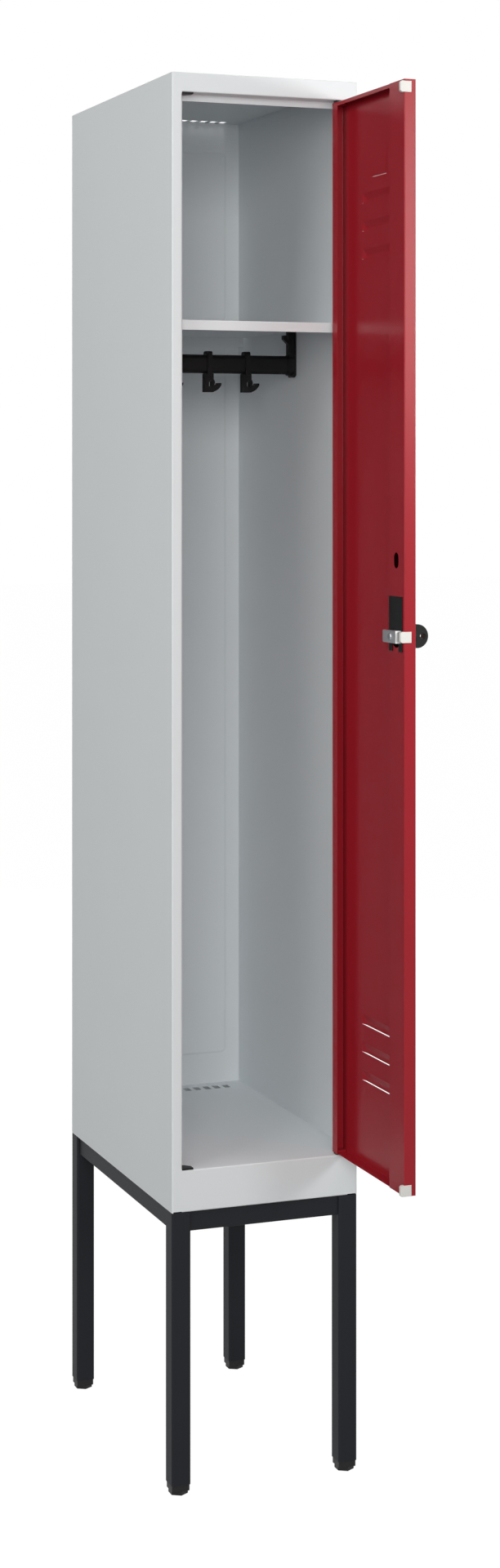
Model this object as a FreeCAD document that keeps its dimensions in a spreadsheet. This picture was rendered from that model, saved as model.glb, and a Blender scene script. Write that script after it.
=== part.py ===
"""Single-door steel clothes locker on a four-leg stand.

Origin on the floor under the middle of the cabinet, +X towards the hinge side, +Y to the back, +Z up.
The door stands square open, which is the rest position of its hinge.
"""
import FreeCAD, Part
import os

import Sketcher

doc = FreeCAD.newDocument("Locker")
sizes = doc.addObject("Spreadsheet::Sheet", "Sizes")

DIMENSIONS = (
    ("body_width", 300, "cabinet outside, side to side"),
    ("body_depth", 500, "cabinet outside, front to back"),
    ("body_height", 1700, "cabinet outside, bottom to top"),
    ("stand_height", 422, "floor to cabinet bottom"),
    ("sheet", 1, "cabinet sheet thickness"),
    ("bend_inside", 1, "inside radius of the cabinet's bends"),
    ("passing_gap", 0.3, "gap left between moving pieces that pass each other"),
    ("overcut", 2, "how far a cutting solid runs past what it cuts"),
    ("post_face", 16, "front face of a door post"),
    ("post_depth", 26, "door post, front to back"),
    ("post_relief", 1.5, "how far a post's folded front stops above the cabinet bottom"),
    ("rear_flange", 14, "inward flange at the back of a side"),
    ("stop_lip", 9, "door stop lip, inward from the post"),
    ("head_fascia", 29, "front strip above the door"),
    ("base_fascia", 62.5, "front strip below the door"),
    ("rebate_lip", 10, "door stop lip below the head ledge"),
    ("weld_flange", 15, "down-turned side flange of the roof and floor"),
    ("weld_flange_end", 30, "how far that flange stops short of the front and back"),
    ("vent_count", 14, "air slots in the roof and in the floor"),
    ("vent_pitch", 17.4, "slot to slot"),
    ("vent_width", 11, "slot, side to side"),
    ("floor_vent_length", 21, "floor slot, front to back"),
    ("floor_vent_setback", 22, "cabinet back to the floor slots"),
    ("roof_vent_length", 18, "roof slot, front to back"),
    ("roof_vent_setback", 7, "cabinet back to the roof slots"),
    ("panel_margin", 25, "plain border at the sides of the pressed back field"),
    ("panel_end_margin", 50, "plain border above and below the pressed back field"),
    ("panel_rise", 2, "height of the pressed back field"),
    ("panel_slope", 4, "width of its sloping edge"),
    ("base_flange", 23, "bottom flange that is bolted to the stand"),
    ("shelf_height", 1333, "cabinet bottom to the top of the hat shelf"),
    ("shelf_setback", 28, "cabinet front to the shelf's front edge"),
    ("shelf_rear_gap", 44, "shelf's rear edge to the cabinet back"),
    ("shelf_lip", 15, "shelf's front lip, overall height"),
    ("shelf_rear_lip", 17, "shelf's rear lip, overall height"),
    ("shelf_rear_inset", 9, "rear lip's end to the side wall"),
    ("rail_height", 30, "oval coat rail, top to bottom"),
    ("rail_depth", 15, "oval coat rail, front to back"),
    ("rail_wall", 1.5, "coat rail wall"),
    ("rail_drop", 56, "shelf top to the rail's middle"),
    ("rail_seat", 0.1, "gap between the rail and its end cups"),
    ("cup_wall", 1.6, "wall of an end cup"),
    ("cup_length", 11, "how far a cup reaches over the rail"),
    ("cup_plate", 2.5, "wall plate of an end bracket"),
    ("arm_width", 9, "arm from cup to shelf, along the rail"),
    ("arm_depth", 14, "the same arm, front to back"),
    ("catch_reach", 9, "slanting catch below the shelf, out from the arm"),
    ("catch_drop", 7, "shelf underside to the catch"),
    ("catch_tip", 5, "flat top of the catch's tip"),
    ("catch_blunt", 6, "blunt end of the tip, top to bottom"),
    ("catch_fall", 7, "how far the catch slants down to the arm"),
    ("catch_root", 8, "catch at the arm, top to bottom"),
    ("catch_depth", 8, "catch, front to back"),
    ("hook_count", 3, "sliding coat hooks"),
    ("hook_pitch", 65, "hook to hook"),
    ("hook_band", 8, "band round the rail, along the rail"),
    ("hook_wall", 2.6, "band thickness"),
    ("hook_crest", 5.5, "extra height of the band's crest"),
    ("hook_play", 0.3, "gap between hook and rail"),
    ("hook_width", 14.4, "hanging part, along the rail"),
    ("hook_depth", 14, "hanging part, front to back"),
    ("hook_hang", 30, "rail bottom to hook bottom"),
    ("prong_radius", 20.5, "outer curve of the prong"),
    ("prong_offset", 2, "hook middle to the middle of that curve"),
    ("prong_reach", 20.5, "hook middle to prong tip"),
    ("prong_tip", 15.3, "rail bottom to prong tip"),
    ("saddle_radius", 5, "hollow between hook and prong"),
    ("saddle_depth", 3.6, "depth of that hollow below the prong tip"),
    ("saddle_offset", 3.6, "hanging part's side to the middle of the hollow"),
    ("band_round", 4.5, "rounding of the band's crest"),
    ("eye_width", 6, "oval eye in the hook"),
    ("eye_height", 11, "the same eye, top to bottom"),
    ("eye_drop", 17, "rail bottom to the eye's middle"),
    ("eye_offset", 2.4, "hook middle to the eye's middle"),
    ("eye_wall", 3.9, "ring of material round the eye's upper end"),
    ("door_sheet", 1, "door sheet thickness"),
    ("door_bend", 1.5, "inside radius of the door's bends"),
    ("door_depth", 18.4, "door thickness"),
    ("hinge_gap", 4, "door edge to hinge post"),
    ("lock_gap", 2, "door edge to lock post"),
    ("door_gap_below", 3, "floor edge to door"),
    ("door_gap_above", 3.5, "door to head ledge"),
    ("pivot_inset", 5.15, "door's hinge edge to the pivot"),
    ("pivot_setback", 8.15, "door's front face to the pivot"),
    ("lock_return", 52.5, "inward return on the lock side"),
    ("hinge_return", 18.8, "inward return on the hinge side"),
    ("end_lip", 6, "turned-down lip at the door's top"),
    ("louvre_count", 3, "louvres in each group"),
    ("louvre_pitch", 42, "louvre to louvre"),
    ("louvre_width", 118, "louvre, along the door's width"),
    ("louvre_height", 16, "louvre, top to bottom"),
    ("louvre_rise", 3.2, "how far a louvre stands out"),
    ("louvre_slope", 12, "slanting end of a louvre"),
    ("louvre_crest", 6, "height of a louvre's outer edge"),
    ("louvre_slit", 0.3, "sheared slit below a louvre"),
    ("upper_louvre_drop", 143.5, "door top to the upper group"),
    ("lower_louvre_lift", 140.5, "door bottom to the top of the lowest louvre"),
    ("label_width", 52, "label field"),
    ("label_height", 31, "label field, top to bottom"),
    ("label_drop", 92.5, "door top to the label field"),
    ("label_inset", 101, "door's free edge to the label field"),
    ("label_slit", 0.7, "slits beside the label field"),
    ("label_hole", 1.2, "radius of the two corner holes"),
    ("label_rim", 4, "width of the pressed rim round the label"),
    ("label_rise", 1.2, "height of that rim"),
    ("bumper_height", 16, "door bumper, top to bottom"),
    ("bumper_cover", 11, "bumper's cover on the door's edge"),
    ("bumper_pad", 1, "bumper thickness on the door's edge"),
    ("bumper_stop", 4.5, "width of the stop over the return"),
    ("bumper_chamfer", 2.2, "bumper's cut corners"),
    ("bumper_margin", 2.9, "door's top to the upper bumper"),
    ("pin_radius", 3, "hinge pin"),
    ("pin_play", 0.05, "radial play of the hinge pin"),
    ("pin_reach", 7, "how far a pin reaches past the door"),
    ("pin_plate", 3, "plate that carries a hinge pin"),
    ("pin_plate_length", 14, "the same plate, along the door"),
    ("bush_width", 18, "hinge bush plate, side to side"),
    ("bush_depth", 20, "hinge bush plate, front to back"),
    ("bush_plate", 2.7, "hinge bush plate thickness"),
    ("bush_chamfer", 9, "cut corner of the plate"),
    ("bush_boss", 6.5, "boss radius in the sheet"),
    ("bush_boss_length", 6, "boss behind the plate"),
    ("bush_seat", 0.1, "radial gap between boss and sheet"),
    ("lock_rise", 801.2, "door bottom to the lock's axis"),
    ("lock_inset", 28, "door's free edge to the lock's axis"),
    ("lock_flange_radius", 18, "round flange on the door's front"),
    ("lock_flange", 3, "flange thickness"),
    ("barrel_radius", 11, "lock barrel through the door"),
    ("barrel_end", 1.6, "how far the barrel passes the return"),
    ("barrel_seat", 0.2, "radial gap round the barrel"),
    ("return_hole", 16.2, "radius of the opening in the return"),
    ("fork_width", 44.6, "fork plate that holds the barrel"),
    ("fork_height", 79.5, "fork plate, top to bottom"),
    ("fork_sheet", 1.5, "fork plate thickness"),
    ("fork_below", 21.8, "lock axis to the fork's lower end"),
    ("peep_width", 16, "oval opening above the lock"),
    ("peep_height", 23, "the same opening, top to bottom"),
    ("peep_rise", 109.6, "lock axis to that opening"),
    ("spindle_radius", 5, "lock spindle"),
    ("spindle_play", 0.05, "radial play of the spindle"),
    ("spindle_seat", 0.03, "radial gap of knob and cam on the spindle"),
    ("knob_disc_radius", 16, "knob's round foot"),
    ("knob_disc", 3.5, "thickness of the knob's foot"),
    ("knob_radius", 17.3, "round of the knob's grip"),
    ("knob_reach", 11.5, "door front to the middle of that round"),
    ("knob_thickness", 16, "grip, across the door"),
    ("knob_socket", 8, "spindle's depth in the knob"),
    ("padlock_hole", 4.2, "radius of the padlock hole"),
    ("padlock_reach", 20, "door front to the padlock hole"),
    ("cam_width", 18, "latch cam, across its tongue"),
    ("cam_sheet", 2.5, "latch cam thickness"),
    ("cam_reach", 24, "lock axis to the end of the cam"),
    ("cam_gap", 0.4, "cam to the back of the stop lip"),
    ("cam_hub", 9, "radius of the cam's hub"),
    ("cam_tail", 20, "lock axis to the end of the block behind the hub"),
    ("screw_head_radius", 5, "cam screw head"),
    ("screw_head", 1.2, "cam screw head thickness"),
    ("screw_radius", 2, "cam screw shank"),
    ("screw_length", 9, "cam screw shank length"),
    ("leg_side", 30, "square leg tube"),
    ("leg_wall", 2, "leg tube wall"),
    ("leg_round", 3, "outer corner radius of the leg tube"),
    ("rail_tube_height", 30, "stand rail, top to bottom"),
    ("rail_tube_width", 20, "stand rail, across"),
    ("rail_tube_wall", 1.5, "stand rail wall"),
    ("rail_tube_inset", 4.5, "leg's outer face to the rail's outer face"),
    ("foot_height", 6, "hexagonal foot pad, top to bottom"),
    ("foot_across", 26, "foot pad, across its flats"),
    ("stud_radius", 4, "foot stud"),
    ("stud_length", 26, "foot stud above the pad"),
    ("stud_play", 0.05, "radial play of the stud"),
    ("collar_height", 9, "visible collar of a leg insert"),
    ("collar_inset", 1, "leg's outer face to the collar"),
    ("insert_depth", 24, "leg insert inside the tube"),
    ("insert_seat", 0.1, "gap between insert and tube"),
    ("bolt_row_width", 180, "stand bolts, side to side"),
    ("bolt_radius", 3, "stand bolt shank"),
    ("bolt_hole", 3.3, "radius of the stand bolt holes"),
    ("bolt_head", 4, "bolt head and nut, along the bolt"),
    ("bolt_across", 10, "bolt head and nut, across flats"),
    ("bolt_end", 2, "bolt end past its nut"),
)

for row, (alias, value, meaning) in enumerate(DIMENSIONS, 1):
    sizes.set(f"A{row}", meaning)
    sizes.set(f"B{row}", str(value))
    sizes.setAlias(f"B{row}", alias)
doc.recompute()


class Size:
    """A length written as an expression on the sheet, so that whatever uses it follows the sheet."""

    def __init__(self, text):
        self.text = str(text)

    def __add__(self, other):
        return Size(f"({self.text} + {as_size(other).text})")

    def __radd__(self, other):
        return as_size(other) + self

    def __sub__(self, other):
        return Size(f"({self.text} - {as_size(other).text})")

    def __rsub__(self, other):
        return as_size(other) - self

    def __mul__(self, other):
        return Size(f"({self.text} * {as_size(other).text})")

    def __rmul__(self, other):
        return as_size(other) * self

    def __truediv__(self, other):
        return Size(f"({self.text} / {as_size(other).text})")

    def __neg__(self):
        return Size(f"(0 - {self.text})")

    @property
    def number(self):
        return float(sizes.evalExpression(self.text))


class Cells:
    """Gives each cell of the sheet as a Size, by its alias."""

    def __getattr__(self, alias):
        return Size(f"Sizes.{alias}")


cell = Cells()
pieces = []
SAME_PLACE = 0.001


def as_size(value):
    return value if isinstance(value, Size) else Size(f"({value})")


def ordered(*sides):
    """Two places along an axis, the lower one first."""
    return tuple(sorted(sides, key=lambda side: side.number))


def bind(thing, prop, value):
    thing.setExpression(prop, as_size(value).text)


def place(thing, corner):
    for axis, value in zip("xyz", corner):
        bind(thing, f"Placement.Base.{axis}", value)


def piece(thing, name):
    """Names a finished sub-part."""
    thing.Label = name
    pieces.append(thing)
    return thing


def box(name, x, y, z):
    """A block given by its low and high side along each axis."""
    block = doc.addObject("Part::Box", name)
    for prop, (low, high) in zip(("Length", "Width", "Height"), (x, y, z)):
        bind(block, prop, as_size(high) - low)
    place(block, (x[0], y[0], z[0]))
    return block


TURN_TO_AXIS = {
    "x": FreeCAD.Rotation(FreeCAD.Vector(0, 1, 0), 90),
    "y": FreeCAD.Rotation(FreeCAD.Vector(1, 0, 0), -90),
    "z": FreeCAD.Rotation(),
}


def cylinder(name, axis, start, radius, length):
    """A cylinder from the middle of its first end, along an axis."""
    rod = doc.addObject("Part::Cylinder", name)
    bind(rod, "Radius", radius)
    bind(rod, "Height", length)
    rod.Placement.Rotation = TURN_TO_AXIS[axis]
    place(rod, start)
    return rod


def hexagon(name, start, across, height):
    """An upright hexagonal prism, given across its flats, which face along X."""
    nut = doc.addObject("Part::Prism", name)
    nut.Polygon = 6
    bind(nut, "Circumradius", as_size(across) / 2 / Size("cos(30 deg)"))
    bind(nut, "Height", height)
    nut.Placement.Rotation = FreeCAD.Rotation(FreeCAD.Vector(0, 0, 1), 90)
    place(nut, start)
    return nut


def fuse(name, things):
    joined = doc.addObject("Part::MultiFuse", name)
    joined.Shapes = list(things)
    joined.Refine = True
    return joined


def cut(name, base, tools):
    tools = list(tools)
    tool = tools[0] if len(tools) == 1 else fuse(f"{name}Tools", tools)
    result = doc.addObject("Part::Cut", name)
    result.Base = base
    result.Tool = tool
    result.Refine = True
    return result


def common(name, things):
    shared = doc.addObject("Part::MultiCommon", name)
    shared.Shapes = list(things)
    return shared


def chosen_edges(thing, wanted):
    doc.recompute()
    return [index for index, edge in enumerate(thing.Shape.Edges, 1) if wanted(edge)]


def rounded(name, base, radius, wanted):
    """Rounds the edges that the test picks."""
    result = doc.addObject("Part::Fillet", name)
    result.Base = base
    result.Edges = [(index, radius.number, radius.number) for index in chosen_edges(base, wanted)]
    return result


def bevelled(name, base, width, wanted):
    """Cuts the edges that the test picks at 45 degrees."""
    result = doc.addObject("Part::Chamfer", name)
    result.Base = base
    result.Edges = [(index, width.number, width.number) for index in chosen_edges(base, wanted)]
    return result


def runs_along(axis):
    """A test for edges that are straight along one axis."""
    others = [other for other in "XYZ" if other != axis]
    return lambda edge: all(getattr(edge.BoundBox, f"{other}Length") < SAME_PLACE for other in others)


def outline_body(name, outline, height, start, upright=False):
    """A body padded from a closed outline whose corners follow the sheet.

    The outline lies flat and is padded up from the start height, or stands upright in X and Z and is
    padded forwards from the start along Y.
    """
    body = doc.addObject("PartDesign::Body", name)
    plane = next(f for f in body.Origin.OriginFeatures if f.Role == "XY_Plane")
    sketch = body.newObject("Sketcher::SketchObject", f"{name}Outline")
    sketch.AttachmentSupport = [(plane, "")]
    sketch.MapMode = "FlatFace"
    corners = [FreeCAD.Vector(as_size(x).number, as_size(y).number, 0) for x, y in outline]
    count = len(corners)
    for i in range(count):
        sketch.addGeometry(Part.LineSegment(corners[i], corners[(i + 1) % count]))
    for i in range(count):
        sketch.addConstraint(Sketcher.Constraint("Coincident", i, 2, (i + 1) % count, 1))
    for i, (x, y) in enumerate(outline):
        for kind, value in (("DistanceX", as_size(x)), ("DistanceY", as_size(y))):
            index = sketch.addConstraint(Sketcher.Constraint(kind, -1, 1, i, 1, value.number))
            bind(sketch, f"Constraints[{index}]", value)
    pad = body.newObject("PartDesign::Pad", f"{name}Pad")
    pad.Profile = sketch
    bind(pad, "Length", height)
    if upright:
        body.Placement.Rotation = FreeCAD.Rotation(FreeCAD.Vector(1, 0, 0), 90)
    bind(body, "Placement.Base.y" if upright else "Placement.Base.z", start)
    doc.recompute()
    return body, pad


def folded_sheet(name, path, thickness, bend, side, bends, height, base_height):
    """A sheet folded along a path of square bends, thickness away on one side (1 left, -1 right)."""
    points = [(as_size(x).number, as_size(y).number) for x, y in path]
    normals = []
    for (x0, y0), (x1, y1) in zip(points, points[1:]):
        length = abs(x1 - x0) + abs(y1 - y0)
        normals.append((-side * (y1 - y0) / length, side * (x1 - x0) / length))
    offsets = []
    for i in range(len(path)):
        near = normals[max(i - 1, 0):i + 1]
        offsets.append(tuple(round(sum(n[k] for n in near)) for k in (0, 1)))
    inner = [(x + thickness * dx, y + thickness * dy) for (x, y), (dx, dy) in zip(path, offsets)]
    body, feature = outline_body(name, list(path) + inner[::-1], height, base_height)
    for label, ring, radius in (("Outer", path, bend + thickness), ("Inner", inner, bend)):
        spots = [(as_size(ring[i][0]).number, as_size(ring[i][1]).number) for i in bends]
        names = []
        for index, edge in enumerate(feature.Shape.Edges, 1):
            middle = edge.BoundBox.Center
            upright = runs_along("Z")(edge)
            if upright and any(abs(middle.x - x) + abs(middle.y - y) < SAME_PLACE for x, y in spots):
                names.append(f"Edge{index}")
        fillet = body.newObject("PartDesign::Fillet", f"{name}{label}Bends")
        fillet.Base = (feature, names)
        bind(fillet, "Radius", radius)
        body.Tip = fillet
        doc.recompute()
        feature = fillet
    return body


# Planes of the cabinet that its pieces share.
half_width = cell.body_width / 2
half_depth = cell.body_depth / 2
front = -half_depth
bottom = cell.stand_height
top = bottom + cell.body_height
inner_half = half_width - cell.sheet
opening_half = half_width - cell.post_face
post_rear = front + cell.post_depth
stop_plane = post_rear - cell.sheet
floor_top = bottom + cell.base_fascia
ledge_below = top - cell.head_fascia
lip_below = ledge_below - cell.rebate_lip
back_plane = half_depth - cell.sheet
back_inner = back_plane - cell.sheet

# The hinge axis, from the closed door's edge and front face.
pivot_x = opening_half - cell.hinge_gap - cell.pivot_inset
pivot_y = front + cell.pivot_setback


# Cabinet sides: one sheet each, folded to a rear flange and a door post with its stop lip.
def side_panel(name, side):
    edge = side * half_width
    path = (
        (edge - side * cell.rear_flange, half_depth),
        (edge, half_depth),
        (edge, front),
        (side * opening_half, front),
        (side * opening_half, post_rear),
    )
    sheet_height = cell.body_height - cell.sheet
    wall = folded_sheet(f"{name}Wall", path, cell.sheet, cell.bend_inside, -side, (1, 2),
                        sheet_height, bottom)
    inward = ordered(side * (opening_half - cell.stop_lip), side * (opening_half + cell.sheet))
    lip = box(f"{name}Lip", inward, (stop_plane, post_rear), (floor_top, lip_below))
    whole = fuse(f"{name}Whole", (wall, lip))
    face = ordered(side * opening_half, side * (inner_half - cell.bend_inside))
    relief = box(f"{name}Relief", face, (front - cell.overcut, post_rear),
                 (bottom - cell.overcut, bottom + cell.post_relief))
    return cut(f"{name}Panel", whole, (relief,))


piece(side_panel("Left", -1), "left_side_panel")
piece(side_panel("Right", 1), "right_side_panel")


# Air slots, a row along X through a plate.
def vent_slots(name, setback, length, z_low, z_high):
    slots = []
    count = int(cell.vent_count.number)
    rear = half_depth - setback
    for i in range(count):
        middle = cell.vent_pitch * (i - (count - 1) / 2)
        across = (middle - cell.vent_width / 2, middle + cell.vent_width / 2)
        slots.append(box(f"{name}Slot{i}", across, (rear - length, rear), (z_low, z_high)))
    return slots


def weld_flanges(name, plate_below):
    flanges = []
    ends = (post_rear + cell.weld_flange_end, back_inner - cell.weld_flange_end)
    heights = (plate_below - cell.weld_flange, plate_below)
    for word, side in (("L", -1), ("R", 1)):
        across = ordered(side * inner_half, side * (inner_half - cell.sheet))
        flanges.append(box(f"{name}Flange{word}", across, ends, heights))
    return flanges


def bush_holes(name, z_low, z_high):
    radius = cell.bush_boss + cell.bush_seat
    return [cylinder(f"{name}BushHole{word}", "z", (side * pivot_x, pivot_y, z_low), radius, z_high - z_low)
            for word, side in (("L", -1), ("R", 1))]


# Roof: top plate with the front fascia folded down, the ledge above the door and its rebate lip.
between_posts = (-opening_half, opening_half)
roof_plate = box("RoofPlate", (-half_width, half_width), (front, half_depth), (top - cell.sheet, top))
roof_plate = rounded("RoofPlateRound", roof_plate, cell.bend_inside + cell.sheet, runs_along("Z"))
roof_solid = fuse("RoofFolds", [
    roof_plate,
    box("RoofFascia", between_posts, (front, front + cell.sheet), (ledge_below, top - cell.sheet)),
    box("RoofLedge", between_posts, (front, post_rear), (ledge_below, ledge_below + cell.sheet)),
    box("RoofRebate", between_posts, (stop_plane, post_rear), (lip_below, ledge_below)),
] + weld_flanges("Roof", top - cell.sheet))
roof_cuts = vent_slots("Roof", cell.roof_vent_setback, cell.roof_vent_length, top - cell.overcut,
                       top + cell.overcut)
roof_cuts += bush_holes("Roof", ledge_below - cell.overcut, ledge_below + cell.overcut)
piece(cut("Roof", roof_solid, roof_cuts), "roof_panel")

# Floor: plate with the deep front fascia folded down and a flange that is bolted to the stand.
bolt_x = cell.bolt_row_width / 2
bolt_y = half_depth - cell.rail_tube_inset - cell.rail_tube_width / 2


def bolt_holes(name, side, z_low, z_high):
    return [cylinder(f"{name}BoltHole{word}", "z", (x, side * bolt_y, z_low), cell.bolt_hole, z_high - z_low)
            for word, x in (("L", -bolt_x), ("R", bolt_x))]


floor_below = floor_top - cell.sheet
floor_solid = fuse("FloorFolds", [
    box("FloorPlate", (-inner_half, inner_half), (post_rear, back_inner), (floor_below, floor_top)),
    box("FloorSill", between_posts, (front, post_rear), (floor_below, floor_top)),
    box("FloorFascia", between_posts, (front, front + cell.sheet), (bottom, floor_below)),
    box("FloorFlange", between_posts, (front, front + cell.base_flange), (bottom, bottom + cell.sheet)),
] + weld_flanges("Floor", floor_below))
floor_cuts = vent_slots("Floor", cell.floor_vent_setback, cell.floor_vent_length, floor_below - cell.overcut,
                        floor_top + cell.overcut)
floor_cuts += bush_holes("Floor", floor_below - cell.overcut, floor_top + cell.overcut)
floor_cuts += bolt_holes("Floor", -1, bottom - cell.overcut, bottom + cell.overcut)
piece(cut("Floor", floor_solid, floor_cuts), "floor_panel")


# Back: a plate with a shallow field pressed inwards and a bottom flange bolted to the stand.
def field_block(name, y_base):
    """A block that narrows towards the inside, as the pressed field does."""
    low_z = floor_top + cell.panel_end_margin
    high_z = top - cell.panel_end_margin
    half = half_width - cell.panel_margin
    block = doc.addObject("Part::Wedge", name)
    for prop, value in (
        ("Xmin", -half + cell.panel_slope), ("Xmax", half - cell.panel_slope),
        ("X2min", -half), ("X2max", half),
        ("Zmin", low_z + cell.panel_slope), ("Zmax", high_z - cell.panel_slope),
        ("Z2min", low_z), ("Z2max", high_z),
        ("Ymin", y_base - cell.panel_rise), ("Ymax", y_base),
    ):
        bind(block, prop, value)
    return block


back_half = inner_half - cell.bend_inside
back_plate = box("BackPlate", (-back_half, back_half), (back_inner, back_plane), (bottom, top - cell.sheet))
back_foot = box("BackFlange", between_posts, (back_plane - cell.base_flange, back_plane),
                (bottom, bottom + cell.sheet))
raised_field = field_block("BackField", back_inner)
field_hollow = field_block("BackHollow", back_plane)
back_holes = bolt_holes("Back", 1, bottom - cell.overcut, bottom + cell.overcut)
back_solid = fuse("BackFolds", (back_plate, back_foot, raised_field))
piece(cut("Back", back_solid, [field_hollow] + back_holes), "back_panel")

# Hat shelf: plate welded between the sides, with a deep front lip and a shorter rear lip.
shelf_top = bottom + cell.shelf_height
shelf_below = shelf_top - cell.sheet
shelf_front = front + cell.shelf_setback
shelf_rear = half_depth - cell.shelf_rear_gap
rear_lip_half = inner_half - cell.shelf_rear_inset
shelf_solid = fuse("ShelfFolds", (
    box("ShelfPlate", (-inner_half, inner_half), (shelf_front, shelf_rear), (shelf_below, shelf_top)),
    box("ShelfFrontLip", (-inner_half, inner_half), (shelf_front, shelf_front + cell.sheet),
        (shelf_top - cell.shelf_lip, shelf_below)),
    box("ShelfRearLip", (-rear_lip_half, rear_lip_half), (shelf_rear - cell.sheet, shelf_rear),
        (shelf_top - cell.shelf_rear_lip, shelf_below)),
))
piece(shelf_solid, "hat_shelf")

# Coat rail: an oval tube across the cabinet, held by a moulded bracket at each end.
rail_z = shelf_top - cell.rail_drop
rail_bottom = rail_z - cell.rail_height / 2
rail_top = rail_z + cell.rail_height / 2
cup_inner_face = inner_half - cell.cup_plate


def oval_bar(name, x_low, x_high, grow):
    """An upright oval bar along X, grown by an amount all round."""
    radius = cell.rail_depth / 2 + grow
    reach = cell.rail_height / 2 - cell.rail_depth / 2
    length = x_high - x_low
    return fuse(name, (
        box(f"{name}Flat", (x_low, x_high), (-radius, radius), (rail_z - reach, rail_z + reach)),
        cylinder(f"{name}Low", "x", (x_low, 0, rail_z - reach), radius, length),
        cylinder(f"{name}High", "x", (x_low, 0, rail_z + reach), radius, length),
    ))


rail_half = cup_inner_face - cell.passing_gap
rail_outside = oval_bar("RailOutside", -rail_half, rail_half, Size(0))
rail_bore = oval_bar("RailBore", -rail_half - cell.overcut, rail_half + cell.overcut, -cell.rail_wall)
piece(cut("Rail", rail_outside, (rail_bore,)), "coat_rail")


def rail_bracket(name, side):
    """Wall plate, cup round the rail's end, arm up to the shelf and a catch under the shelf."""

    def span(near, far):
        """A stretch along X between two distances from the cabinet's middle, on this side."""
        return (near, far) if side > 0 else (-far, -near)

    wall = inner_half
    cup_mouth = cup_inner_face - cell.cup_length
    grow = cell.rail_seat + cell.cup_wall
    half_cup = cell.rail_depth / 2 + grow
    plate = box(f"{name}Plate", span(cup_inner_face, wall), (-half_cup, half_cup),
                (rail_bottom - grow, shelf_below))
    cup = oval_bar(f"{name}Cup", *span(cup_mouth, cup_inner_face), grow)
    arm_span = span(cup_inner_face - cell.arm_width, cup_inner_face)
    arm = box(f"{name}Arm", arm_span, (-cell.arm_depth / 2, cell.arm_depth / 2), (rail_z, shelf_below))
    arm_face = cup_inner_face - cell.arm_width
    lug_x = side * (cup_inner_face - cell.cup_wall)
    lug = cylinder(f"{name}Lug", "y", (lug_x, -half_cup, rail_bottom - grow), cell.cup_wall * 2, half_cup * 2)
    tip = arm_face - cell.catch_reach
    tip_top = shelf_below - cell.catch_drop
    catch_outline = (
        (side * arm_face, tip_top - cell.catch_fall),
        (side * arm_face, tip_top - cell.catch_fall - cell.catch_root),
        (side * tip, tip_top - cell.catch_blunt),
        (side * tip, tip_top),
        (side * (tip + cell.catch_tip), tip_top),
    )
    catch, _ = outline_body(f"{name}Catch", catch_outline, cell.catch_depth, cell.catch_depth / 2,
                            upright=True)
    solid = fuse(f"{name}Solid", (plate, cup, arm, lug, catch))
    socket = oval_bar(f"{name}Socket", *span(cup_mouth - cell.overcut, cup_inner_face), cell.rail_seat)
    return cut(f"{name}Bracket", solid, (socket,))


piece(rail_bracket("LeftEnd", -1), "rail_bracket_left")
piece(rail_bracket("RightEnd", 1), "rail_bracket_right")


# Sliding coat hooks: a band round the rail, a hanging part with an eye, and a curved prong.
def coat_hook(name, middle):
    grow = cell.hook_play + cell.hook_wall
    half_band = cell.hook_band / 2
    half_depth_band = cell.rail_depth / 2 + grow
    half_hook = cell.hook_width / 2
    half_thick = cell.hook_depth / 2
    low = rail_bottom - cell.hook_hang
    tip = rail_bottom - cell.prong_tip
    across = (-half_thick, half_thick)
    band = box(f"{name}Band", (middle - half_band, middle + half_band), (-half_depth_band, half_depth_band),
               (rail_bottom - grow, rail_top + cell.hook_crest))
    band = rounded(f"{name}BandRound", band, cell.band_round,
                   lambda edge: runs_along("X")(edge) and edge.BoundBox.Center.z > rail_z.number)
    hang = box(f"{name}Hang", (middle - half_hook, middle + half_hook), across,
               (low, rail_bottom - cell.hook_play))
    prong_middle = (middle + cell.prong_offset, -half_thick, low + cell.prong_radius)
    prong_round = cylinder(f"{name}Round", "y", prong_middle, cell.prong_radius, cell.hook_depth)
    prong_window = box(f"{name}Window", (middle, middle + cell.prong_reach), across, (low, tip))
    prong = common(f"{name}Prong", (prong_round, prong_window))
    run = (-half_thick - cell.overcut, half_thick + cell.overcut)
    saddle_x = middle + half_hook + cell.saddle_offset
    saddle = cylinder(f"{name}Saddle", "y", (saddle_x, run[0], tip - cell.saddle_depth + cell.saddle_radius),
                      cell.saddle_radius, run[1] - run[0])
    eye_reach = (cell.eye_height - cell.eye_width) / 2
    eye_z = rail_bottom - cell.eye_drop
    eye_x = middle + cell.eye_offset
    ring = cylinder(f"{name}Ring", "y", (eye_x, -half_thick, eye_z + eye_reach),
                    cell.eye_width / 2 + cell.eye_wall, cell.hook_depth)
    eye_slot = box(f"{name}Eye", (eye_x - cell.eye_width / 2, eye_x + cell.eye_width / 2), run,
                   (eye_z - eye_reach, eye_z + eye_reach))
    eye_ends = [cylinder(f"{name}Eye{word}", "y", (eye_x, run[0], z), cell.eye_width / 2, run[1] - run[0])
                for word, z in (("Low", eye_z - eye_reach), ("High", eye_z + eye_reach))]
    reach = half_band + cell.overcut
    passage = oval_bar(f"{name}Passage", middle - reach, middle + reach, cell.hook_play)
    hooked = cut(f"{name}Hooked", prong, (saddle,))
    solid = fuse(f"{name}Solid", (band, hang, ring, hooked))
    return cut(f"{name}Hook", solid, [passage, eye_slot] + eye_ends)


hook_total = int(cell.hook_count.number)
for number in range(hook_total):
    hook_x = cell.hook_pitch * (number - (hook_total - 1) / 2)
    piece(coat_hook(f"Hook{number + 1}", hook_x), f"coat_hook_{number + 1}")


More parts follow.
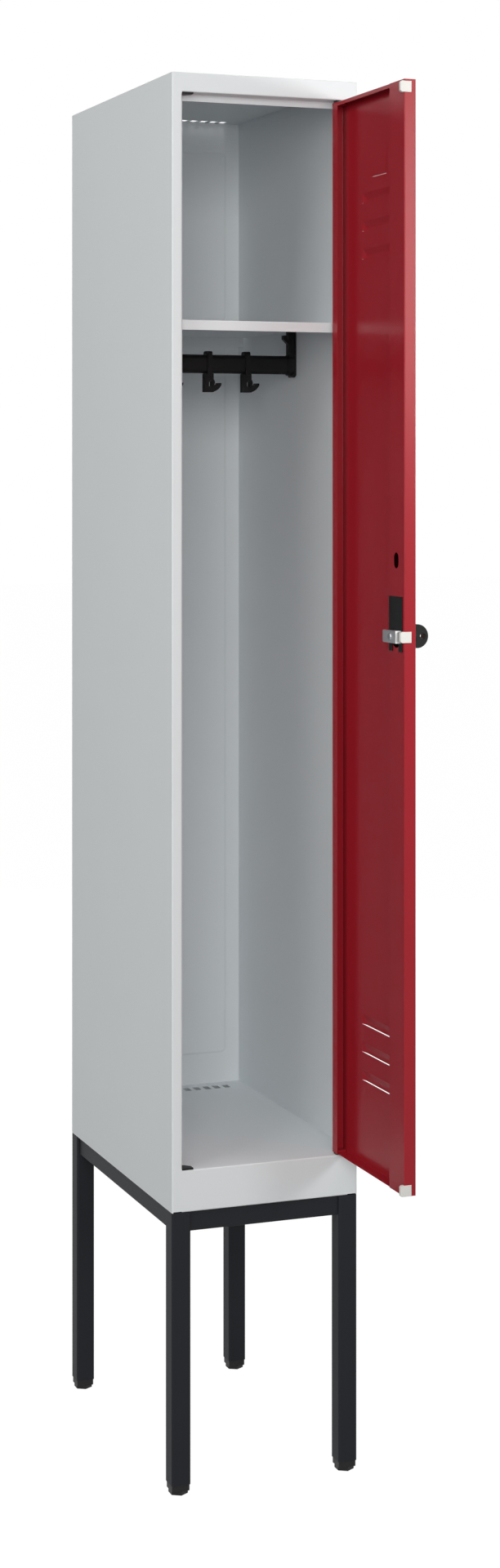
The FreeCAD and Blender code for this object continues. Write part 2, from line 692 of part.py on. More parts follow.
# Hinge bushes: a moulded corner plate with a boss in the sheet; the two on the lock side are blank.
def hinge_bush(name, side, upper):
    plate_low = ledge_below - cell.bush_plate if upper else floor_top
    edge = side * opening_half
    inner = side * (opening_half - cell.bush_width)
    rear = front + cell.bush_depth
    outline = (
        (edge, front),
        (edge, rear),
        (inner + side * cell.bush_chamfer, rear),
        (inner, rear - cell.bush_chamfer),
        (inner, front),
    )
    plate, _ = outline_body(f"{name}Plate", outline, cell.bush_plate, plate_low)
    boss_start = ledge_below if upper else floor_top - cell.bush_boss_length
    boss = cylinder(f"{name}Boss", "z", (side * pivot_x, pivot_y, boss_start), cell.bush_boss,
                    cell.bush_boss_length)
    whole = fuse(f"{name}Whole", (plate, boss))
    if side < 0:
        return whole
    bore_start = boss_start - cell.bush_plate - cell.overcut
    bore_length = cell.bush_boss_length + 2 * (cell.bush_plate + cell.overcut)
    bore = cylinder(f"{name}Bore", "z", (pivot_x, pivot_y, bore_start), cell.pin_radius + cell.pin_play,
                    bore_length)
    return cut(f"{name}Bush", whole, (bore,))


for word, upper in (("upper", True), ("lower", False)):
    piece(hinge_bush(f"Hinge{word.title()}", 1, upper), f"hinge_bush_{word}")
    piece(hinge_bush(f"Blank{word.title()}", -1, upper), f"blank_bush_{word}")

# The open door: its front faces +X, its hinge edge lies towards +Y and its free edge towards -Y.
door_front = pivot_x + cell.pivot_setback
door_return = door_front - cell.door_depth
door_skin_inner = door_front - cell.door_sheet
door_width = 2 * opening_half - cell.hinge_gap - cell.lock_gap
hinge_edge = pivot_y + cell.pivot_inset
free_edge = hinge_edge - door_width
door_middle = (hinge_edge + free_edge) / 2
door_bottom = floor_top + cell.door_gap_below
door_top = ledge_below - cell.door_gap_above
lock_y = free_edge + cell.lock_inset
lock_z = door_bottom + cell.lock_rise


# Louvres: hoods pressed outwards, open along their lower edge.
def louvre_wedge(name, x_base, x_crest, crest_z, trim, drop):
    """A hood that narrows outwards; trim draws its sides in and drop lowers its open edge."""
    hood = doc.addObject("Part::Wedge", name)
    for prop, value in (
        ("Xmin", trim), ("Xmax", cell.louvre_width - trim),
        ("X2min", cell.louvre_slope + trim), ("X2max", cell.louvre_width - cell.louvre_slope - trim),
        ("Zmin", -drop), ("Zmax", cell.louvre_height - trim),
        ("Z2min", -drop), ("Z2max", cell.louvre_crest - trim),
        ("Ymin", 0), ("Ymax", x_crest - x_base),
    ):
        bind(hood, prop, value)
    hood.Placement.Rotation = FreeCAD.Rotation(FreeCAD.Vector(0, 0, 1), -90)
    place(hood, (x_base, door_middle + cell.louvre_width / 2, crest_z - cell.louvre_height))
    return hood


hoods = []
hollows = []
louvre_total = int(cell.louvre_count.number)
for group, first_top in (
    ("Upper", door_top - cell.upper_louvre_drop),
    ("Lower", door_bottom + cell.lower_louvre_lift + cell.louvre_pitch * (louvre_total - 1)),
):
    for i in range(louvre_total):
        crest = first_top - cell.louvre_pitch * i
        outer = door_front + cell.louvre_rise
        hoods.append(louvre_wedge(f"{group}Hood{i}", door_skin_inner, outer, crest, Size(0), Size(0)))
        hollows.append(louvre_wedge(f"{group}Hollow{i}", door_skin_inner - cell.overcut,
                                    outer - cell.door_sheet, crest, cell.door_sheet, cell.louvre_slit))

# Label field: two slits and two corner holes beside a shallow pressed rim that is open at the top.
label_low_y = free_edge + cell.label_inset
label_high_y = label_low_y + cell.label_width
label_top = door_top - cell.label_drop
label_bottom = label_top - cell.label_height
through_skin = (door_skin_inner - cell.overcut, door_front + cell.label_rise + cell.overcut)
label_cuts = [
    box("LabelSideSlit", through_skin, (label_low_y, label_low_y + cell.label_slit),
        (label_bottom, label_top)),
    box("LabelFootSlit", through_skin, (label_low_y, label_high_y),
        (label_bottom, label_bottom + cell.label_slit)),
]
for word, z in (("Low", label_bottom), ("High", label_top)):
    label_cuts.append(cylinder(f"LabelHole{word}", "x", (through_skin[0], label_high_y, z), cell.label_hole,
                               through_skin[1] - through_skin[0]))
rim_x = (door_front, door_front + cell.label_rise)
rim_low_y = label_low_y - cell.label_rim
rim_high_y = label_high_y + cell.label_rim
label_rims = [
    box("LabelRimFree", rim_x, (rim_low_y, label_low_y), (label_bottom, label_top)),
    box("LabelRimHinge", rim_x, (label_high_y, rim_high_y), (label_bottom, label_top)),
    box("LabelRimFoot", rim_x, (rim_low_y, rim_high_y), (label_bottom - cell.label_rim, label_bottom)),
]

# Door leaf: one sheet folded to a tray, with returns at the edges, end flanges and their lips.
leaf_path = (
    (door_return, hinge_edge - cell.hinge_return),
    (door_return, hinge_edge),
    (door_front, hinge_edge),
    (door_front, free_edge),
    (door_return, free_edge),
    (door_return, free_edge + cell.lock_return),
)
leaf = folded_sheet("Leaf", leaf_path, cell.door_sheet, cell.door_bend, -1, (1, 2, 3, 4),
                    door_top - door_bottom, door_bottom)
leaf_solids = [leaf]
inside_y = (free_edge + cell.door_sheet, hinge_edge - cell.door_sheet)
lip_x = (door_return, door_return + cell.door_sheet)
for word, z_plate in (
    ("Top", (door_top - cell.door_sheet, door_top)),
    ("Foot", (door_bottom, door_bottom + cell.door_sheet)),
):
    leaf_solids.append(box(f"Leaf{word}Flange", (door_return, door_skin_inner), inside_y, z_plate))
leaf_solids.append(box("LeafTopLip", lip_x, inside_y, (door_top - cell.end_lip, door_top)))

lock_start = door_return - cell.overcut
lock_hole = cylinder("LockHole", "x", (lock_start, lock_y, lock_z), cell.barrel_radius + cell.barrel_seat,
                     cell.door_depth + 2 * cell.overcut)
return_hole = cylinder("ReturnHole", "x", (lock_start, lock_y, lock_z), cell.return_hole,
                       cell.door_sheet + 2 * cell.overcut)
peep_z = lock_z + cell.peep_rise
peep_reach = (cell.peep_height - cell.peep_width) / 2
peep_half = cell.peep_width / 2
peep_x = (lock_start, door_return + cell.door_sheet + cell.overcut)
peep_cuts = [box("PeepSlot", peep_x, (lock_y - peep_half, lock_y + peep_half),
                 (peep_z - peep_reach, peep_z + peep_reach))]
for word, z in (("Low", peep_z - peep_reach), ("High", peep_z + peep_reach)):
    peep_cuts.append(cylinder(f"Peep{word}", "x", (peep_x[0], lock_y, z), peep_half, peep_x[1] - peep_x[0]))
pin_cuts = []
for word, z in (("Low", door_bottom - cell.overcut), ("High", door_top - cell.door_sheet - cell.overcut)):
    pin_cuts.append(cylinder(f"LeafPinHole{word}", "z", (pivot_x, pivot_y, z), cell.pin_radius,
                             cell.door_sheet + 2 * cell.overcut))
leaf_whole = fuse("LeafWhole", leaf_solids + hoods + label_rims)
leaf_cuts = hollows + label_cuts + peep_cuts + pin_cuts + [lock_hole, return_hole]
piece(cut("DoorLeaf", leaf_whole, leaf_cuts), "door_leaf")


# Hinge pins: a short steel pin welded to a plate that lies in the corner of the door tray.
def hinge_pin(name, upper):
    plate_z = (door_top - cell.door_sheet - cell.pin_plate, door_top - cell.door_sheet)
    if not upper:
        plate_z = (door_bottom + cell.door_sheet, door_bottom + cell.door_sheet + cell.pin_plate)
    inner_hinge = hinge_edge - cell.door_sheet
    inner_return = door_return + cell.door_sheet
    plate = box(f"{name}Plate", (inner_return + cell.passing_gap, door_skin_inner - cell.passing_gap),
                (inner_hinge - cell.pin_plate_length, inner_hinge - cell.passing_gap), plate_z)
    plate = rounded(f"{name}PlateRound", plate, cell.door_bend, runs_along("Z"))
    start = plate_z[0] if upper else door_bottom - cell.pin_reach
    length = cell.pin_plate + cell.door_sheet + cell.pin_reach
    pin = cylinder(f"{name}Pin", "z", (pivot_x, pivot_y, start), cell.pin_radius, length)
    return fuse(f"{name}Whole", (plate, pin))


piece(hinge_pin("UpperPin", True), "hinge_pin_upper")
piece(hinge_pin("LowerPin", False), "hinge_pin_lower")


# Bumpers: moulded blocks on the door's free edge that meet the stop lip when the door is shut.
stop_gap = stop_plane - front - cell.door_depth
bumper_x = door_return - stop_gap + cell.passing_gap


def bumper(name, z_low):
    z = (z_low, z_low + cell.bumper_height)
    pad = box(f"{name}Pad", (bumper_x, door_return + cell.bumper_cover),
              (free_edge - cell.bumper_pad, free_edge), z)
    stop = box(f"{name}Stop", (bumper_x, door_return),
               (free_edge - cell.bumper_pad, free_edge + cell.bumper_stop), z)
    block = fuse(f"{name}Block", (pad, stop))
    return bevelled(f"{name}Cut", block, cell.bumper_chamfer, lambda edge: runs_along("Y")(edge)
                    and abs(edge.BoundBox.Center.x - bumper_x.number) < SAME_PLACE)


piece(bumper("UpperBumper", door_top - cell.bumper_margin - cell.bumper_height), "door_bumper_upper")
piece(bumper("MiddleBumper", lock_z - cell.bumper_height / 2), "door_bumper_middle")
piece(bumper("LowerBumper", door_bottom), "door_bumper_lower")

# Lock body: a round flange on the door's front with a barrel that passes through the door.
barrel_start = door_return - cell.barrel_end
lock_solid = fuse("LockBodySolid", (
    cylinder("LockFlange", "x", (door_front, lock_y, lock_z), cell.lock_flange_radius, cell.lock_flange),
    cylinder("LockBarrel", "x", (barrel_start, lock_y, lock_z), cell.barrel_radius,
             door_front - barrel_start),
))
lock_bore = cylinder("LockBore", "x", (barrel_start - cell.overcut, lock_y, lock_z),
                     cell.spindle_radius + cell.spindle_play,
                     door_front + cell.lock_flange - barrel_start + 2 * cell.overcut)
piece(cut("LockBody", lock_solid, (lock_bore,)), "lock_body")

# Fork plate: slides up over the barrel, flat on the door's return, and keeps the lock in place.
fork_low = lock_z - cell.fork_below
fork_x = (door_return - cell.fork_sheet, door_return)
fork_slot_half = cell.barrel_radius + cell.barrel_seat
fork_plate = box("ForkPlate", fork_x, (lock_y - cell.fork_width / 2, lock_y + cell.fork_width / 2),
                 (fork_low, fork_low + cell.fork_height))
fork_cuts = (
    box("ForkSlot", (fork_x[0] - cell.overcut, fork_x[1] + cell.overcut),
        (lock_y - fork_slot_half, lock_y + fork_slot_half), (fork_low - cell.overcut, lock_z)),
    cylinder("ForkRound", "x", (fork_x[0] - cell.overcut, lock_y, lock_z), fork_slot_half,
             cell.fork_sheet + 2 * cell.overcut),
)
piece(cut("Fork", fork_plate, fork_cuts), "lock_fork_plate")

# Knob: a round foot and an upright grip with a rounded end and a hole for a padlock.
knob_start = door_front + cell.lock_flange + cell.passing_gap
grip_centre = door_front + cell.knob_reach
half_grip = cell.knob_thickness / 2
grip_y = (lock_y - half_grip, lock_y + half_grip)
grip_round = cylinder("GripRound", "y", (grip_centre, grip_y[0], lock_z), cell.knob_radius,
                      cell.knob_thickness)
grip_front = box("GripWindow", (knob_start, grip_centre + cell.knob_radius), grip_y,
                 (lock_z - cell.knob_radius, lock_z + cell.knob_radius))
grip_neck = box("GripNeck", (knob_start, grip_centre), grip_y,
                (lock_z - cell.knob_disc_radius, lock_z + cell.knob_disc_radius))
knob_foot = cylinder("KnobFoot", "x", (knob_start, lock_y, lock_z), cell.knob_disc_radius, cell.knob_disc)
foot_reach = common("GripFoot", (grip_neck, cylinder("GripFootRound", "x", (knob_start, lock_y, lock_z),
                                                     cell.knob_disc_radius, cell.knob_reach)))
knob_solid = fuse("KnobSolid", (knob_foot, foot_reach, common("Grip", (grip_round, grip_front))))
knob_cuts = (
    cylinder("KnobSocket", "x", (knob_start - cell.overcut, lock_y, lock_z),
             cell.spindle_radius + cell.spindle_seat, cell.knob_socket + cell.overcut),
    cylinder("PadlockHole", "y", (door_front + cell.padlock_reach, grip_y[0] - cell.overcut, lock_z),
             cell.padlock_hole, cell.knob_thickness + 2 * cell.overcut),
)
piece(cut("Knob", knob_solid, knob_cuts), "lock_knob")

# Spindle, latch cam and its screw turn with the knob; the cam's tongue swings behind the stop lip,
# and the thick block on its other side stays just short of that lip.
lip_rear_gap = post_rear - front - cell.door_depth
cam_near = door_return - lip_rear_gap - cell.cam_gap
cam_far = cam_near - cell.cam_sheet
spindle_end = knob_start + cell.knob_socket
spindle_rod = cylinder("SpindleRod", "x", (cam_far, lock_y, lock_z), cell.spindle_radius,
                       spindle_end - cam_far)
spindle_tap = cylinder("SpindleTap", "x", (cam_far - cell.overcut, lock_y, lock_z),
                       cell.screw_radius + cell.spindle_seat, cell.screw_length + cell.overcut)
piece(cut("Spindle", spindle_rod, (spindle_tap,)), "lock_spindle")

cam_half = cell.cam_width / 2
hub_end = barrel_start - cell.passing_gap
tongue_middle = lock_y + cell.cam_reach / 2
tongue = box("CamTongue", (cam_far, cam_near), (lock_y, lock_y + cell.cam_reach),
             (lock_z - cam_half, lock_z + cam_half))
tongue = rounded("CamTongueRound", tongue, cell.cam_sheet, lambda edge: runs_along("X")(edge)
                 and edge.BoundBox.Center.y > tongue_middle.number)
cam_solid = fuse("CamSolid", (
    tongue,
    cylinder("CamRound", "x", (cam_far, lock_y, lock_z), cam_half, cell.cam_sheet),
    cylinder("CamHub", "x", (cam_far, lock_y, lock_z), cell.cam_hub, hub_end - cam_far),
    box("CamBlock", (cam_far, hub_end), (lock_y - cell.cam_tail, lock_y),
        (lock_z - cam_half, lock_z + cam_half)),
))
cam_bore = cylinder("CamBore", "x", (cam_far - cell.overcut, lock_y, lock_z),
                    cell.spindle_radius + cell.spindle_seat, hub_end - cam_far + 2 * cell.overcut)
piece(cut("Cam", cam_solid, (cam_bore,)), "latch_cam")

screw_face = cam_far - cell.screw_head
screw_head = cylinder("ScrewHead", "x", (screw_face, lock_y, lock_z), cell.screw_head_radius,
                      cell.screw_head)
screw_head = rounded("ScrewHeadRound", screw_head, cell.screw_head / 2,
                     lambda edge: abs(edge.BoundBox.Center.x - screw_face.number) < SAME_PLACE
                     and edge.BoundBox.XLength < SAME_PLACE)
screw_shank = cylinder("ScrewShank", "x", (cam_far, lock_y, lock_z), cell.screw_radius,
                       cell.screw_length - cell.passing_gap)
piece(fuse("CamScrew", (screw_head, screw_shank)), "cam_screw")


# Stand: four square tube legs joined under the cabinet by four rails set back from the legs' faces.
foot_top = cell.foot_height
leg_bottom = foot_top + cell.collar_height
leg_inner = half_width - cell.leg_side
leg_back = half_depth - cell.leg_side
CORNERS = (("front_left", -1, -1), ("front_right", 1, -1), ("rear_left", -1, 1), ("rear_right", 1, 1))


def square_around(centre_x, centre_y, side_length):
    half = side_length / 2
    return (centre_x - half, centre_x + half), (centre_y - half, centre_y + half)


for corner, side_x, side_y in CORNERS:
    name = corner.title().replace("_", "")
    leg_x = side_x * (half_width - cell.leg_side / 2)
    leg_y = side_y * (half_depth - cell.leg_side / 2)
    tube = box(f"{name}Tube", *square_around(leg_x, leg_y, cell.leg_side), (leg_bottom, bottom))
    tube = rounded(f"{name}TubeRound", tube, cell.leg_round, runs_along("Z"))
    hollow = box(f"{name}Hollow", *square_around(leg_x, leg_y, cell.leg_side - 2 * cell.leg_wall),
                 (leg_bottom - cell.overcut, bottom + cell.overcut))
    piece(cut(f"{name}Leg", tube, (hollow,)), f"leg_{corner}")

    plug_side = cell.leg_side - 2 * (cell.leg_wall + cell.insert_seat)
    collar_side = cell.leg_side - 2 * cell.collar_inset
    collar = box(f"{name}Collar", *square_around(leg_x, leg_y, collar_side), (foot_top, leg_bottom))
    collar = rounded(f"{name}CollarRound", collar, cell.leg_round, runs_along("Z"))
    plug = box(f"{name}Plug", *square_around(leg_x, leg_y, plug_side),
               (leg_bottom, leg_bottom + cell.insert_depth))
    insert = fuse(f"{name}InsertSolid", (collar, plug))
    nut_bore = cylinder(f"{name}NutBore", "z", (leg_x, leg_y, foot_top - cell.overcut),
                        cell.stud_radius + cell.stud_play,
                        cell.collar_height + cell.insert_depth + 2 * cell.overcut)
    piece(cut(f"{name}Insert", insert, (nut_bore,)), f"leg_insert_{corner}")

    pad = hexagon(f"{name}Pad", (leg_x, leg_y, 0), cell.foot_across, cell.foot_height)
    stud = cylinder(f"{name}Stud", "z", (leg_x, leg_y, foot_top), cell.stud_radius, cell.stud_length)
    piece(fuse(f"{name}Foot", (pad, stud)), f"foot_{corner}")

rail_low = bottom - cell.rail_tube_height
rail_inset = cell.rail_tube_inset
rail_far = rail_inset + cell.rail_tube_width
wall = cell.rail_tube_wall
for word, side in (("front", -1), ("rear", 1)):
    name = f"{word.title()}Rail"
    y = ordered(side * (half_depth - rail_inset), side * (half_depth - rail_far))
    tube = box(f"{name}Tube", (-leg_inner, leg_inner), y, (rail_low, bottom))
    hollow = box(f"{name}Hollow", (-leg_inner - cell.overcut, leg_inner + cell.overcut),
                 (y[0] + wall, y[1] - wall), (rail_low + wall, bottom - wall))
    holes = bolt_holes(name, side, bottom - wall - cell.overcut, bottom + cell.overcut)
    piece(cut(name, tube, [hollow] + holes), f"stand_rail_{word}")
for word, side in (("left", -1), ("right", 1)):
    name = f"{word.title()}StandRail"
    x = ordered(side * (half_width - rail_inset), side * (half_width - rail_far))
    tube = box(f"{name}Tube", x, (-leg_back, leg_back), (rail_low, bottom))
    hollow = box(f"{name}Hollow", (x[0] + wall, x[1] - wall),
                 (-leg_back - cell.overcut, leg_back + cell.overcut), (rail_low + wall, bottom - wall))
    piece(cut(name, tube, (hollow,)), f"stand_rail_{word}")

# Stand bolts and nuts: down through the cabinet's bottom flanges into nuts inside the front and rear rails.
bolts = []
nuts = []
flange_top = bottom + cell.sheet
nut_low = bottom - wall - cell.bolt_head
shank_low = nut_low - cell.bolt_end
for i, (x, y) in enumerate((sx * bolt_x, sy * bolt_y) for sx in (-1, 1) for sy in (-1, 1)):
    head = hexagon(f"Bolt{i}Head", (x, y, flange_top), cell.bolt_across, cell.bolt_head)
    shank = cylinder(f"Bolt{i}Shank", "z", (x, y, shank_low), cell.bolt_radius, flange_top - shank_low)
    bolts.append(fuse(f"Bolt{i}", (head, shank)))
    blank = hexagon(f"Nut{i}Blank", (x, y, nut_low), cell.bolt_across, cell.bolt_head)
    thread = cylinder(f"Nut{i}Thread", "z", (x, y, nut_low - cell.overcut), cell.bolt_radius,
                      cell.bolt_head + 2 * cell.overcut)
    nuts.append(cut(f"Nut{i}", blank, (thread,)))
for name, group in (("stand_bolts", bolts), ("stand_nuts", nuts)):
    gathered = doc.addObject("Part::Compound", name.title().replace("_", ""))
    gathered.Links = group
    piece(gathered, name)

doc.recompute()
for thing in doc.Objects:
    if "Invalid" in thing.State or "Error" in thing.State:
        raise RuntimeError(f"{thing.Name} ({thing.Label}) failed: {thing.State}")
for thing in pieces:
    if thing.Shape.isNull() or not thing.Shape.isValid():
        raise RuntimeError(f"{thing.Label} has no valid shape")

os.makedirs("parts", exist_ok=True)
for thing in pieces:
    thing.Shape.exportStep(f"parts/{thing.Label}.step")
    bounds = thing.Shape.BoundBox
    print(f"{thing.Label}: {len(thing.Shape.Solids)} solid, {thing.Shape.Volume:.0f} mm3, "
          f"{bounds.XLength:.1f} x {bounds.YLength:.1f} x {bounds.ZLength:.1f}")
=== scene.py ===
import cmath
import math

import bmesh
import bpy
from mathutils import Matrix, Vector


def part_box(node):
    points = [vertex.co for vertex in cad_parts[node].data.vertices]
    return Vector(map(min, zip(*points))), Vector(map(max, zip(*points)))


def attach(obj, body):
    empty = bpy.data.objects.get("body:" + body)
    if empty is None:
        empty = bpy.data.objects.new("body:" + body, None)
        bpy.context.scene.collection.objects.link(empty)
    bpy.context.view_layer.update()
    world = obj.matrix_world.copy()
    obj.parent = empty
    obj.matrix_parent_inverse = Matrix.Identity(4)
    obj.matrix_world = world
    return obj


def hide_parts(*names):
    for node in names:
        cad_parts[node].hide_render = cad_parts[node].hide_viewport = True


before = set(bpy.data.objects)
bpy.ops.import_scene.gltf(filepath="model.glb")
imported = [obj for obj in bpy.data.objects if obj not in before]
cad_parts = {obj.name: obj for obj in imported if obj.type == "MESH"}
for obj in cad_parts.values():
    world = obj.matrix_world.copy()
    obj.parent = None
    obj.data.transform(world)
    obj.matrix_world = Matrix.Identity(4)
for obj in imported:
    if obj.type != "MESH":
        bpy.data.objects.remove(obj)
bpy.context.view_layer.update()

# Stand legs: four square steel tubes, sawn square and welded to the rails between them.
# Legs and rails are sprayed and stoved in one go, so their drawn corners keep a soft edge.
MM = 0.001
leg_corner = 3 * MM
leg_wall = 2 * MM
sawn_edge = 0.3 * MM
sharp_angle = math.radians(35)
hair = 0.02 * MM
merge_distance = 0.001 * MM


def rectangle(low, high, inset=0.0):
    """Corners of a rectangle between two opposite corners, drawn in by an inset."""
    (left, bottom), (right, top) = low, high
    return [(left + inset, bottom + inset), (right - inset, bottom + inset),
            (right - inset, top - inset), (left + inset, top - inset)]


def bend_at(here, arriving, leaving, radius, offset, steps):
    """The arc that rounds a corner of a line, moved sideways by an offset; points are complex numbers.

    A corner without a radius keeps its edge, rounded only by a hair.
    """
    turn = cmath.phase(leaving / arriving)
    side = math.copysign(1, turn)
    ahead = arriving / abs(arriving)
    if radius is None:
        radius = side * offset + hair
    centre = here - ahead * radius * math.tan(abs(turn) / 2) + 1j * ahead * side * radius
    arm = -1j * ahead * (side * radius - offset)
    return [centre + arm * cmath.rect(1, turn * step / steps) for step in range(steps + 1)]


def round_corners(corners, radius, steps=6):
    """A closed outline with an arc at each corner."""
    points = [complex(*corner) for corner in corners]
    outline = []
    for i, here in enumerate(points):
        leaving = points[(i + 1) % len(points)] - here
        outline += bend_at(here, here - points[i - 1], leaving, radius, 0, steps)
    return [(point.real, point.imag) for point in outline]


def spot(axis, along, across):
    """A point in space from its place along an axis and its two places across it."""
    place = list(across)
    place.insert("xyz".index(axis), along)
    return place


def stack(levels, axis, ring=False):
    """A closed solid through outlines with as many points, each at its place along an axis.

    The ends are capped, or, for a ring, the last outline is joined to the first.
    """
    shape = bmesh.new()
    loops = [[shape.verts.new(spot(axis, along, point)) for point in outline] for along, outline in levels]
    following = loops[1:] + loops[:1] if ring else loops[1:]
    for low, high in zip(loops, following):
        for i in range(len(low)):
            shape.faces.new((low[i - 1], low[i], high[i], high[i - 1]))
    if not ring:
        shape.faces.new(loops[0])
        shape.faces.new(loops[-1])
    bmesh.ops.recalc_face_normals(shape, faces=shape.faces)
    return shape


def tube(outer, inner, axis, low, high):
    """A hollow bar with the two outlines, between two places along an axis."""
    return stack([(low, outer), (high, outer), (high, inner), (low, inner)], axis, ring=True)


def soften(shape, width, segments=2):
    """Rounds every sharp edge of a shape."""
    sharp = [edge for edge in shape.edges if edge.calc_face_angle(0) > sharp_angle]
    bmesh.ops.bevel(shape, geom=sharp, offset=width, offset_type="OFFSET", segments=segments, profile=0.5,
                    affect="EDGES", clamp_overlap=True)
    bmesh.ops.remove_doubles(shape, verts=shape.verts, dist=merge_distance)
    return shape


def shade(piece, material):
    """Gives a piece its one material, and smooth shading in which large flat faces stay flat."""
    mesh = piece.data
    mesh.materials.clear()
    mesh.materials.append(material)
    for face in mesh.polygons:
        face.use_smooth = True
        face.material_index = 0
    mesh.set_sharp_from_angle(angle=sharp_angle)
    flat = piece.modifiers.new("flat faces", "WEIGHTED_NORMAL")
    flat.keep_sharp = True


def add_piece(name, shape, material):
    """Puts a finished shape into the scene."""
    mesh = bpy.data.meshes.new(name)
    shape.to_mesh(mesh)
    shape.free()
    piece = bpy.data.objects.new(name, mesh)
    bpy.context.scene.collection.objects.link(piece)
    shade(piece, material)
    return piece


def linear(hex_colour):
    """An sRGB colour such as d7d8da as linear red, green, blue and alpha."""
    parts = [int(hex_colour[i:i + 2], 16) / 255 for i in (0, 2, 4)]
    return [part / 12.92 if part <= 0.04045 else ((part + 0.055) / 1.055) ** 2.4 for part in parts] + [1.0]


def add_node(tree, kind, inputs=None, **settings):
    """Adds a node to a tree with its settings, and sets or links its inputs."""
    node = tree.nodes.new(kind)
    for name, value in settings.items():
        setattr(node, name, value)
    for name, value in (inputs or {}).items():
        if isinstance(value, bpy.types.NodeSocket):
            tree.links.new(value, node.inputs[name])
        else:
            node.inputs[name].default_value = value
    return node


def new_material(name):
    """An empty node material and its tree."""
    material = bpy.data.materials.new(name)
    material.use_nodes = True
    material.node_tree.nodes.clear()
    return material, material.node_tree


def noise(tree, place, size, detail=2.0):
    """Smooth noise whose waves are about as long as a size."""
    field = add_node(tree, "ShaderNodeTexNoise", {"Vector": place, "Scale": 1 / size, "Detail": detail})
    return field.outputs["Fac"]


def blend(tree, share, first, second):
    """A colour between two others, by a share of the second."""
    mix = add_node(tree, "ShaderNodeMix", {0: share, 6: first, 7: second}, data_type="RGBA")
    return mix.outputs[2]


def follow(tree, value, low, high):
    """A number between two limits that follows noise, whose own values keep mostly to its middle range."""
    noise_low, noise_high = 0.3, 0.7
    span = add_node(tree, "ShaderNodeMapRange", {
        "Value": value, "From Min": noise_low, "From Max": noise_high, "To Min": low, "To Max": high})
    return span.outputs[0]


def powder_coat(name, colour, shade_colour, gloss, peel_height, specular, painted_shade_hollow=None):
    """Stoved polyester powder: an even colour, a faint orange-peel waviness and a satin gloss.

    The colour drifts a little over hand-sized patches, the waviness is a few millimetres long, and
    the grit of the powder is drawn at one millimetre, coarser than it is, so that it shows at all.
    A closed fold, given by a dark colour and its span in x and y, is painted that colour as painted
    shade, standing for the dark inside of the fold; the spray also reaches it only as a thin dull coat.
    """
    patch_size, peel_size, grit_size = 180 * MM, 4 * MM, 1 * MM
    gloss_drift, grit_share, peel_strength = 0.03, 0.15, 0.5
    material, tree = new_material(name)
    place = add_node(tree, "ShaderNodeTexCoord").outputs["Object"]
    peel = noise(tree, place, peel_size)
    grit = noise(tree, place, grit_size, detail=1.0)
    patch = noise(tree, place, patch_size, detail=3.0)
    tint = blend(tree, patch, linear(shade_colour), linear(colour))
    # painted shade: inside the span of the closed fold the colour turns to the given dark colour
    if painted_shade_hollow:
        painted_shade_colour, *spans = painted_shade_hollow
        axes = add_node(tree, "ShaderNodeSeparateXYZ", {"Vector": place})
        within = []
        for axis, (start, end) in zip("XY", spans):
            limits = {0: axes.outputs[axis], 1: (start + end) / 2, 2: (end - start) / 2}
            within.append(add_node(tree, "ShaderNodeMath", limits, operation="COMPARE").outputs[0])
        in_painted_shade = add_node(tree, "ShaderNodeMath", {0: within[0], 1: within[1]}, operation="MULTIPLY")
        tint = blend(tree, in_painted_shade.outputs[0], tint, linear(painted_shade_colour))
    wave = add_node(tree, "ShaderNodeMath", {0: grit, 1: grit_share, 2: peel}, operation="MULTIPLY_ADD")
    bump = add_node(tree, "ShaderNodeBump", {
        "Height": wave.outputs[0], "Strength": peel_strength, "Distance": peel_height})
    paint = add_node(tree, "ShaderNodeBsdfPrincipled", {
        "Base Color": tint, "Roughness": follow(tree, grit, gloss - gloss_drift, gloss + gloss_drift),
        "Normal": bump.outputs[0], "Specular IOR Level": specular, "IOR": 1.5})
    add_node(tree, "ShaderNodeOutputMaterial", {"Surface": paint.outputs[0]})
    return material


stand_paint = powder_coat("anthracite powder coat", "292b2f", "26282c",
                          gloss=0.5, peel_height=0.012 * MM, specular=0.08)
corner_names = ("front_left", "front_right", "rear_left", "rear_right")
for corner in corner_names:
    low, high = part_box(f"leg_{corner}")
    outer = round_corners(rectangle(low.xy, high.xy), leg_corner)
    inner = round_corners(rectangle(low.xy, high.xy, leg_wall), leg_corner - leg_wall)
    sawn_tube = soften(tube(outer, inner, "z", low.z, high.z), sawn_edge)
    leg = add_piece(f"leg_tube_{corner}", sawn_tube, stand_paint)
    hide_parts(f"leg_{corner}")
    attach(leg, "cabinet")

# Stand rails: flat steel tubes on edge, welded between the legs a little behind their faces.
# The rear and front rails carry the bolts that hold the cabinet.
rail_wall = 1.5 * MM
rail_corner = 1.5 * MM
rail_inner_corner = 0.75 * MM
for side in ("front", "rear", "left", "right"):
    low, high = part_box(f"stand_rail_{side}")
    axis, across = ("x", low.yz) if side in ("front", "rear") else ("y", low.xz)
    far = high.yz if axis == "x" else high.xz
    start, end = (low.x, high.x) if axis == "x" else (low.y, high.y)
    outer = round_corners(rectangle(across, far), rail_corner)
    inner = round_corners(rectangle(across, far, rail_wall), rail_inner_corner)
    rail = add_piece(f"rail_tube_{side}", tube(outer, inner, axis, start, end), stand_paint)
    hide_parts(f"stand_rail_{side}")
    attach(rail, "cabinet")

# Leg inserts and feet: a moulded plug closes each leg and holds the threaded stud of its foot.
# Both are black polyamide; the foot's six-sided pad is turned by hand to level the locker.
collar_edge = 0.8 * MM
pad_edge = 0.7 * MM
flat_angle = math.radians(1)


def moulded(name, node, width, material):
    """A copy of a plain solid with its triangles joined up and its sharp edges rounded."""
    shape = bmesh.new()
    shape.from_mesh(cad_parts[node].data)
    bmesh.ops.remove_doubles(shape, verts=shape.verts, dist=merge_distance)
    bmesh.ops.dissolve_limit(shape, angle_limit=flat_angle, verts=shape.verts, edges=shape.edges)
    return add_piece(name, soften(shape, width, segments=3), material)


